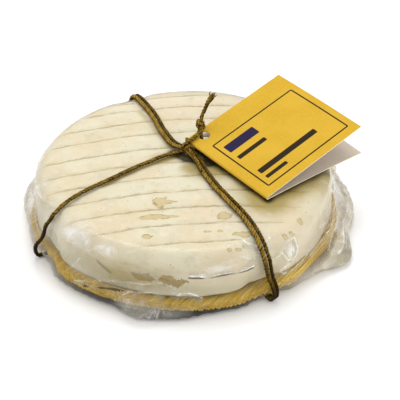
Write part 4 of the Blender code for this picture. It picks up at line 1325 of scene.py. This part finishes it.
def twine_material(settings):
    paint = Paint("waxed_twine")
    run, turn = paint.stored("metres"), paint.stored("round")
    around = [paint.maths(name, turn * TURN) * 0.9 for name in ("SINE", "COSINE")]
    fibre_place = paint.joined(run * 150.0, *around)
    fibres = paint.noise(0.22, 4, 0.65, at=fibre_place)
    patches = paint.noise(5 * MM, 3, 0.6)
    inward, tone = paint.stored("inward"), paint.stored("tone")
    # A higher tone paints a whole strand lighter: painted light and shade
    light = paint.rise(fibres * 0.9 + patches * 0.35 + tone * 0.22, 0.64, 0.88)
    base = paint.layered(settings.brown, (light, settings.gold))
    base = paint.layered(settings.dark, (paint.rise(fibres + tone * 0.12, 0.46, 0.60), base))
    # Painted shade in the gaps between the plies
    base = paint.layered(settings.dark, (paint.rise(inward, 0.66, 0.92), base))
    base = paint.layered(
        base,
        # painted shade on the underside of each cord
        (paint.fall(paint.stored("over"), -0.35, 0.62) * 0.95, settings.dark),
        # darker low down the side
        (paint.fall(paint.coordinate("Z"), 6 * MM, 24 * MM) * 0.72, settings.dark),
    )
    surface = paint.shader(
        Base_Color=base,
        Roughness=0.45 + 0.3 * fibres,
        Normal=paint.bump(fibres, 0.9, 0.22 * MM),
        Specular_IOR_Level=0.06,
    )
    return paint.done(surface)


class CHEESE_OT_twine(bpy.types.Operator):
    """Tie the waxed twine"""

    bl_idname = "ridged_cheese.twine"
    bl_label = "Waxed twine"

    def execute(self, context):
        self.settings = settings = context.scene.cheese_twine
        self.draw = random.Random(5)
        # The tone paints light and shade on whole strands: the doubled run's second, thinner strand is painted
        # darker than the first, and the single run lies between them
        parts = self.cord(beside(run_a(), 1.05 * MM), 0.3, 1.04, tone=0.9)
        parts += self.cord(beside(run_a(), -0.98 * MM), 1.4, 0.84, tone=0.3)
        parts += self.cord(run_b(), 2.2, 0.92, tone=0.55)
        parts += self.knot()
        parts += self.fuzz(parts)
        twine = join(parts)
        tidy_shell(twine)
        points = points_of(twine)
        points[:, 2] = np.maximum(points[:, 2], TWINE_FLOOR)
        move_points(twine, points)
        bpy.ops.object.shade_smooth()
        finish_piece(twine, "twine_plies", "twine", twine_material(settings))
        return {"FINISHED"}

    def cord(self, route, start, girth, taper=0.0, tone=0.7):
        """Twisted plies round a route, light or dark by tone. The last share of the way, taper, it opens out."""
        settings, thick = self.settings, TWINE_RADIUS * girth
        line = evenly(route, settings.spacing)
        across, up = side_axes(line)
        run = np.concatenate([[0], np.cumsum(np.linalg.norm(np.diff(line, axis=0), axis=1))])
        spread = 1 + 0.6 * np.clip((run / run[-1] - 1 + taper) / max(taper, 0.01), 0, 1) * (taper > 0)
        made = []
        for ply in range(PLIES):
            turn = TURN * (run / settings.lay + ply / PLIES) + start
            turn = turn + 0.35 * clouds(line, 12 * MM, 40 + ply, 2)
            reach = (thick - settings.ply * girth) * spread
            middle = line + reach[:, None] * (np.cos(turn)[:, None] * across + np.sin(turn)[:, None] * up)
            radii = settings.ply * girth * spread * (1 + 0.26 * clouds(line, 1.8 * MM, 50 + ply, 3))
            obj, place = tube(middle, radii, 8)
            off = points_of(obj) - line[place]
            store(obj, "inward", np.clip(np.linalg.norm(off, axis=1) / thick, 0, 1))
            store(obj, "metres", run[place] + 0.31 * ply)
            store(obj, "tone", np.full(len(off), tone))
            store(obj, "over", off[:, 2] / thick)
            made.append(obj)
        return made

    def ring(self, centre, facing, radius, girth):
        """One turn of twine round a knot."""
        facing = facing.normalized()
        across = facing.orthogonal().normalized()
        up = facing.cross(across)
        turns = [step / 12 * TURN for step in range(13)]
        route = [centre + (across * math.cos(t) + up * math.sin(t)) * radius for t in turns]
        return self.cord(route, self.draw.random() * 6, girth)

    def knot(self):
        """The crossing, its two short wraps, the lace through the tag, the bead knot and the frayed tail."""
        run = (run_a()[1] - KNOT).normalized()
        run.z = 0
        knot = KNOT + Vector((0, 0, 0.6 * MM))
        parts = []
        back_turn = knot - run * 0.6 * MM - Vector((0.3, 0.2, 0)) * MM
        parts += self.ring(back_turn, run + Vector((0.2, 0.1, 0.15)), 1.25 * MM, 0.78)
        parts += self.ring(knot + run * 2.2 * MM, run + Vector((-0.5, 0.2, 0.1)), 1.4 * MM, 0.8)
        parts += self.ring(on_card(-0.3, 1.6, 0.2), Vector((1, 0.5, 0.3)), 1.35 * MM, 0.8)
        cut_end = [knot + Vector((0.2, -0.6, 0.5)) * MM]
        cut_end += [spot(*place) for place in ((3.4, 0.2, 31.5), (5.3, -5.0, 31.2), (7.9, -12.7, 30.5))]
        parts += self.cord(cut_end, 1.9, 0.78)
        bead = on_card(8.4, 0.4, 2.7)
        lace = [
            knot + Vector((-0.4, 0.2, 0.8)) * MM,
            on_card(-1.9, 2.6, 1.2),
            on_card(-0.2, 2.9, 1.6),
            on_card(2.4, 2.8, 1.5),
            on_card(5.2, 2.3, 1.6),
            bead,
            on_card(7.0, 2.2, 2.6),
            on_card(5.9, 3.0, 1.0),
            on_card(5.7, 3.3, -1.8),
            on_card(5.0, 4.6, -3.9),
            on_card(2.6, 5.6, -3.7),
            knot + Vector((1.4, -1.0, -0.6)) * MM,
        ]
        parts += self.cord(lace, 0.7, 0.9)
        parts += self.ring(bead, Vector((0.3, -0.4, 1)), 1.45 * MM, 0.85)
        parts += self.ring(bead + Vector((-0.1, 0.1, 1.5)) * MM, Vector((0.5, -0.2, 1)), 1.3 * MM, 0.8)
        parts += self.ring(bead + Vector((0, 0, 0.7)) * MM, Vector((1, -0.6, 0.2)), 1.4 * MM, 0.75)
        tail_places = ((7.9, 13.6, 40.6), (9.1, 14.8, 43.2), (10.5, 15.0, 46.8), (12.5, 15.2, 50.4))
        tail = [bead] + [spot(*place) for place in tail_places]
        parts += self.cord(tail, 0.2, 0.92, taper=0.35)
        parts += self.frayed_end(tail[-1], tail[-1] - tail[-2])
        return parts

    def fibre(self):
        """One thin loose fibre of length 1 along Z, with a little bow."""
        line = np.array([[0.12 * math.sin(t * 2.6), 0, t] for t in np.linspace(0, 1, 5)])
        obj, place = tube(line, np.array([0, 1, 0.9, 0.7, 0]) * 0.03, 3)
        store(obj, "metres", np.linspace(0, 0.002, len(place)))
        for name, value in (("inward", 1.0), ("tone", 0.8), ("over", 0.5)):
            store(obj, name, np.full(len(place), value))
        return obj

    def placed_fibre(self, pattern, at, way, size, girth):
        """A copy of the fibre that starts at a point, with its direction, length and thickness."""
        turn = way.to_track_quat("Z", "X").to_matrix() @ Matrix.Rotation(self.draw.uniform(0, TURN), 3, "Z")
        made = a_copy(pattern)
        points = points_of(pattern) * (girth, girth, size)
        move_points(made, points @ np.array(turn).T + np.array(at))
        return made

    def frayed_end(self, tip, way):
        pattern = self.fibre()
        made = []
        for _ in range(FRAY_COUNT):
            lean = Vector([self.draw.uniform(-0.5, 0.5) for _ in range(3)])
            at = tip + lean * 0.8 * MM - way.normalized() * 0.8 * MM
            size = self.draw.uniform(1.4, 2.9) * MM
            made.append(self.placed_fibre(pattern, at, way.normalized() + 0.6 * lean, size, 7.0 * MM))
        bpy.data.objects.remove(pattern)
        return made

    def fuzz(self, parts):
        """Short loose fibres that stand off the plies."""
        pattern = self.fibre()
        made = []
        lines = [points_of(part) for part in parts]
        for _ in range(FUZZ_COUNT):
            points = lines[self.draw.randrange(len(lines))]
            pick = self.draw.randrange(8, max(9, len(points) - 8))
            at = Vector(points[pick])
            if at.z < 3 * MM or at.z > 49 * MM:
                continue
            way = Vector([self.draw.uniform(-1, 1) for _ in range(3)]) + Vector((0, 0, 0.5))
            size = self.draw.uniform(0.7, 1.7) * MM
            made.append(self.placed_fibre(pattern, at, way.normalized(), size, 1.3 * MM))
        bpy.data.objects.remove(pattern)
        return made


# The tag


class TagSettings(bpy.types.PropertyGroup):
    thickness: length("Card", "Thickness of the card", 0.42 * MM)
    yellow: colour("Yellow", "The card's printed outside", (0.66, 0.40, 0.030))
    inside: colour("Inside", "The card's plain inside", (0.60, 0.52, 0.43))
    edge: colour("Edge", "The card's cut edges", (0.83, 0.74, 0.52))
    ink: colour("Ink", "The thin frame and the dark bars", (0.008, 0.006, 0.008))
    accent: colour("Accent", "The broad bar", (0.010, 0.008, 0.055))


# The print's frame and bars: first and last place along the card's depth and along its fold, in mm
PRINT_FRAME = (5.1, 51.6, 11.6, 46.0)
PRINT_BARS = [(7.5, 24.2, 15.5, 20.4), (7.5, 23.3, 24.0, 26.2), (7.8, 40.7, 36.2, 39.0), (7.8, 19.6, 41.0, 42.8)]


def tag_material(settings):
    paint = Paint("printed_card")
    deep, wide, side = paint.stored("deep"), paint.stored("wide"), paint.stored("side")

    def box_distance(low, high, left, right, rounding):
        """Distance outside a box with round corners, in mm, and below 0 inside it."""
        off_x = abs(deep - (low + high) / 2) - ((high - low) / 2 - rounding)
        off_y = abs(wide - (left + right) / 2) - ((right - left) / 2 - rounding)
        out_x, out_y = paint.larger(off_x, 0.0), paint.larger(off_y, 0.0)
        corner = paint.maths("SQRT", out_x * out_x + out_y * out_y)
        inside = paint.smaller(paint.larger(off_x, off_y), 0.0)
        return corner + inside - rounding

    pulp = paint.noise(0.9 * MM, 4, 0.7)
    frame_line = paint.fall(abs(box_distance(*PRINT_FRAME, 0.5)), 0.28, 0.44)
    broad_bar, *bars = [paint.fall(box_distance(*bar, 0.5), -0.05, 0.12) for bar in PRINT_BARS]
    upper = paint.rise(deep, 0.5, 1.0)
    printed = paint.layered(
        settings.yellow,
        (paint.rise(pulp, 0.3, 0.72), [c * 0.87 for c in settings.yellow]),
        (paint.blots(13 * MM, 0.35, 0.7) * 0.5, (0.70, 0.44, 0.045)),
        (paint.larger(frame_line, *bars) * upper * 0.97, settings.ink),
        (broad_bar * upper * 0.98, settings.accent),
    )
    base = paint.layered(
        settings.inside,
        (paint.rise(pulp, 0.3, 0.7), [c * 0.9 for c in settings.inside]),
        (paint.fall(side, 0.2, 0.8), printed),
        (paint.rise(side, 1.2, 1.8), settings.edge),
    )
    surface = paint.shader(
        Base_Color=base,
        Roughness=0.72 + 0.2 * pulp,
        Normal=paint.bump(pulp, 0.25, 0.10 * MM),
        Specular_IOR_Level=0.15,
    )
    return paint.done(surface)


class CHEESE_OT_tag(bpy.types.Operator):
    """Fold the card tag"""

    bl_idname = "ridged_cheese.tag"
    bl_label = "Card tag"

    def execute(self, context):
        settings = context.scene.cheese_tag
        leaf = CARD_DEPTH - FOLD_RADIUS
        bend = (math.pi - LEAF_ANGLE) * FOLD_RADIUS
        strip = 2 * leaf + bend + LOWER_LEAF_EXTRA
        bpy.ops.object.select_all(action="DESELECT")
        bpy.ops.mesh.primitive_grid_add(x_subdivisions=270, y_subdivisions=60, size=1, location=(0, 0, 0))
        tag = added()
        flat = points_of(tag)
        run = (flat[:, 0] + 0.5) * strip
        wide = (flat[:, 1] + 0.5) * CARD_WIDTH
        depth = np.where(run < leaf, leaf - run, np.where(run > leaf + bend, -(run - leaf - bend), 0.0))
        move_points(tag, self.folded(run, wide, leaf, bend))
        store(tag, "deep", np.where(depth > 0, depth + FOLD_RADIUS, depth) / MM)
        store(tag, "wide", wide / MM)
        plain = bpy.data.materials.new("card_side")
        for _ in range(3):
            tag.data.materials.append(plain)
        modify(
            tag, "SOLIDIFY", thickness=settings.thickness, offset=0, material_offset=1, material_offset_rim=2,
            use_even_offset=True,
        )
        self.mark_sides(tag)
        self.punch(tag)
        finish_piece(tag, "folded_tag", "tag", tag_material(settings))
        bpy.data.materials.remove(plain)
        return {"FINISHED"}

    def folded(self, run, wide, leaf, bend):
        """Points of the card's middle, from the upper leaf's free edge round the fold to the lower leaf's."""
        deep_way, wide_way, normal = (np.array(axis) for axis in card_axes())
        lower_way = deep_way * math.cos(LEAF_ANGLE) - normal * math.sin(LEAF_ANGLE)
        corner = np.array(CARD_CORNER)
        centre = corner + deep_way * FOLD_RADIUS - normal * FOLD_RADIUS
        points = corner + np.outer(np.maximum(leaf - run, 0) + FOLD_RADIUS, deep_way)
        angle = np.clip((run - leaf) / FOLD_RADIUS, 0, math.pi - LEAF_ANGLE)
        round_fold = centre + FOLD_RADIUS * (np.outer(np.cos(angle), normal) - np.outer(np.sin(angle), deep_way))
        past = np.maximum(run - leaf - bend, 0)
        points = np.where((run > leaf)[:, None], round_fold + np.outer(past, lower_way), points)
        curl = 0.35 * MM * (np.maximum(leaf - run, 0) / leaf) ** 2 * np.sin(wide / CARD_WIDTH * math.pi)
        droop = np.maximum(0, (wide / CARD_WIDTH - DROOP_FROM) / (1 - DROOP_FROM))
        sag = -CORNER_DROOP * (past / leaf) ** 2 * droop
        return points + np.outer(wide, wide_way) + np.outer(curl + sag, normal)

    def mark_sides(self, tag):
        """Keeps on each face whether it is outside, inside or on a cut edge."""
        sides = [polygon.material_index for polygon in tag.data.polygons]
        attribute = tag.data.attributes.new("side", "FLOAT", "FACE")
        attribute.data.foreach_set("value", np.array(sides, np.float32))
        for polygon in tag.data.polygons:
            polygon.material_index = 0

    def punch(self, tag):
        deep_way, wide_way, normal = card_axes()
        centre = CARD_CORNER + deep_way * HOLE_PLACE[0] + wide_way * HOLE_PLACE[1]
        bpy.ops.object.select_all(action="DESELECT")
        bpy.ops.mesh.primitive_cylinder_add(
            vertices=40, radius=HOLE_RADIUS, depth=12 * MM, location=centre,
            rotation=normal.to_track_quat("Z", "X").to_euler(),
        )
        cutter = added()
        modify(tag, "BOOLEAN", operation="DIFFERENCE", object=cutter, solver="EXACT")
        bpy.data.objects.remove(cutter)


# The stage


class StageSettings(bpy.types.PropertyGroup):
    floor: colour("Floor", "The plain floor", (0.97, 0.97, 0.97))
    sky: FloatProperty(name="Room light", description="Strength of the even light from all sides", default=0.92)
    lamp: FloatProperty(name="Lamp", description="Power of the main soft light", default=3.4, unit="POWER")
    fill: FloatProperty(name="Fill", description="Power of the front fill light", default=1.8, unit="POWER")


# The photo's viewing angle, as the place of the camera and the point that it aims at
EYE = spot(0.0, -404.508, 308.893)
AIM = spot(6.83, -11.61, 15.0)
# Focal length and sensor width in mm, and the side of the floor in metres
LENS = 103.5
SENSOR_WIDTH = 36
FLOOR_SIZE = 9


def area_light(name, power, size, place, target):
    bpy.ops.object.select_all(action="DESELECT")
    bpy.ops.object.light_add(type="AREA", location=place)
    light = added()
    light.name = name
    light.data.energy = power
    light.data.size = size
    light.rotation_euler = (Vector(target) - Vector(place)).to_track_quat("-Z", "Y").to_euler()


class CHEESE_OT_stage(bpy.types.Operator):
    """Set the floor, the lights and the camera"""

    bl_idname = "ridged_cheese.stage"
    bl_label = "Stage"

    def execute(self, context):
        settings = context.scene.cheese_stage
        bpy.ops.object.select_all(action="DESELECT")
        bpy.ops.mesh.primitive_plane_add(size=FLOOR_SIZE, location=(0, 0, 0))
        floor = added()
        floor.name = "floor"
        paint = Paint("pale_floor")
        tone = paint.layered(settings.floor, (paint.noise(0.3, 2), [c * 0.985 for c in settings.floor]))
        floor.data.materials.append(paint.done(paint.shader(Base_Color=tone, Roughness=0.75)))
        area_light("main_light", settings.lamp, 0.55, (-0.10, 0.35, 0.95), (0, 0, 0.01))
        area_light("fill_light", settings.fill, 0.7, (0.85, -0.35, 0.5), (0, 0, 0.01))
        world = bpy.data.worlds.new("room")
        world.use_nodes = True
        world.node_tree.nodes["Background"].inputs["Color"].default_value = (1, 1, 1, 1)
        world.node_tree.nodes["Background"].inputs["Strength"].default_value = settings.sky
        context.scene.world = world
        context.scene.view_settings.view_transform = "Standard"
        bpy.ops.object.camera_add(location=EYE)
        camera = added()
        camera.rotation_euler = (AIM - EYE).to_track_quat("-Z", "Y").to_euler()
        camera.data.lens = LENS
        camera.data.sensor_width = SENSOR_WIDTH
        context.scene.camera = camera
        return {"FINISHED"}


# The panel, and running it all


class CHEESE_PT_panel(bpy.types.Panel):
    """Lists the pieces in the 3D view's sidebar"""

    bl_label = "Ridged cheese in film"
    bl_idname = "CHEESE_PT_panel"
    bl_space_type = "VIEW_3D"
    bl_region_type = "UI"
    bl_category = "Cheese"

    def draw(self, context):
        for operator, settings in PIECES:
            self.layout.operator(operator.bl_idname)
            box = self.layout.box()
            for name in SETTINGS[settings].__annotations__:
                box.prop(getattr(context.scene, settings), name)


SETTINGS = {
    "cheese_rind": RindSettings,
    "cheese_mat": MatSettings,
    "cheese_film": FilmSettings,
    "cheese_twine": TwineSettings,
    "cheese_tag": TagSettings,
    "cheese_stage": StageSettings,
}
PIECES = [
    (CHEESE_OT_stage, "cheese_stage"),
    (CHEESE_OT_rind, "cheese_rind"),
    (CHEESE_OT_straw_mat, "cheese_mat"),
    (CHEESE_OT_film, "cheese_film"),
    (CHEESE_OT_twine, "cheese_twine"),
    (CHEESE_OT_tag, "cheese_tag"),
]
CLASSES = [*SETTINGS.values(), *[operator for operator, _ in PIECES], CHEESE_PT_panel]


def register():
    for item in CLASSES:
        bpy.utils.register_class(item)
    for name, group in SETTINGS.items():
        setattr(bpy.types.Scene, name, PointerProperty(type=group))


def unregister():
    for name in SETTINGS:
        delattr(bpy.types.Scene, name)
    for item in reversed(CLASSES):
        bpy.utils.unregister_class(item)


def main():
    register()
    bpy.ops.ridged_cheese.stage()
    bpy.ops.ridged_cheese.rind()
    bpy.ops.ridged_cheese.straw_mat()
    bpy.ops.ridged_cheese.film()
    bpy.ops.ridged_cheese.twine()
    bpy.ops.ridged_cheese.tag()


if __name__ == "__main__":
    main()
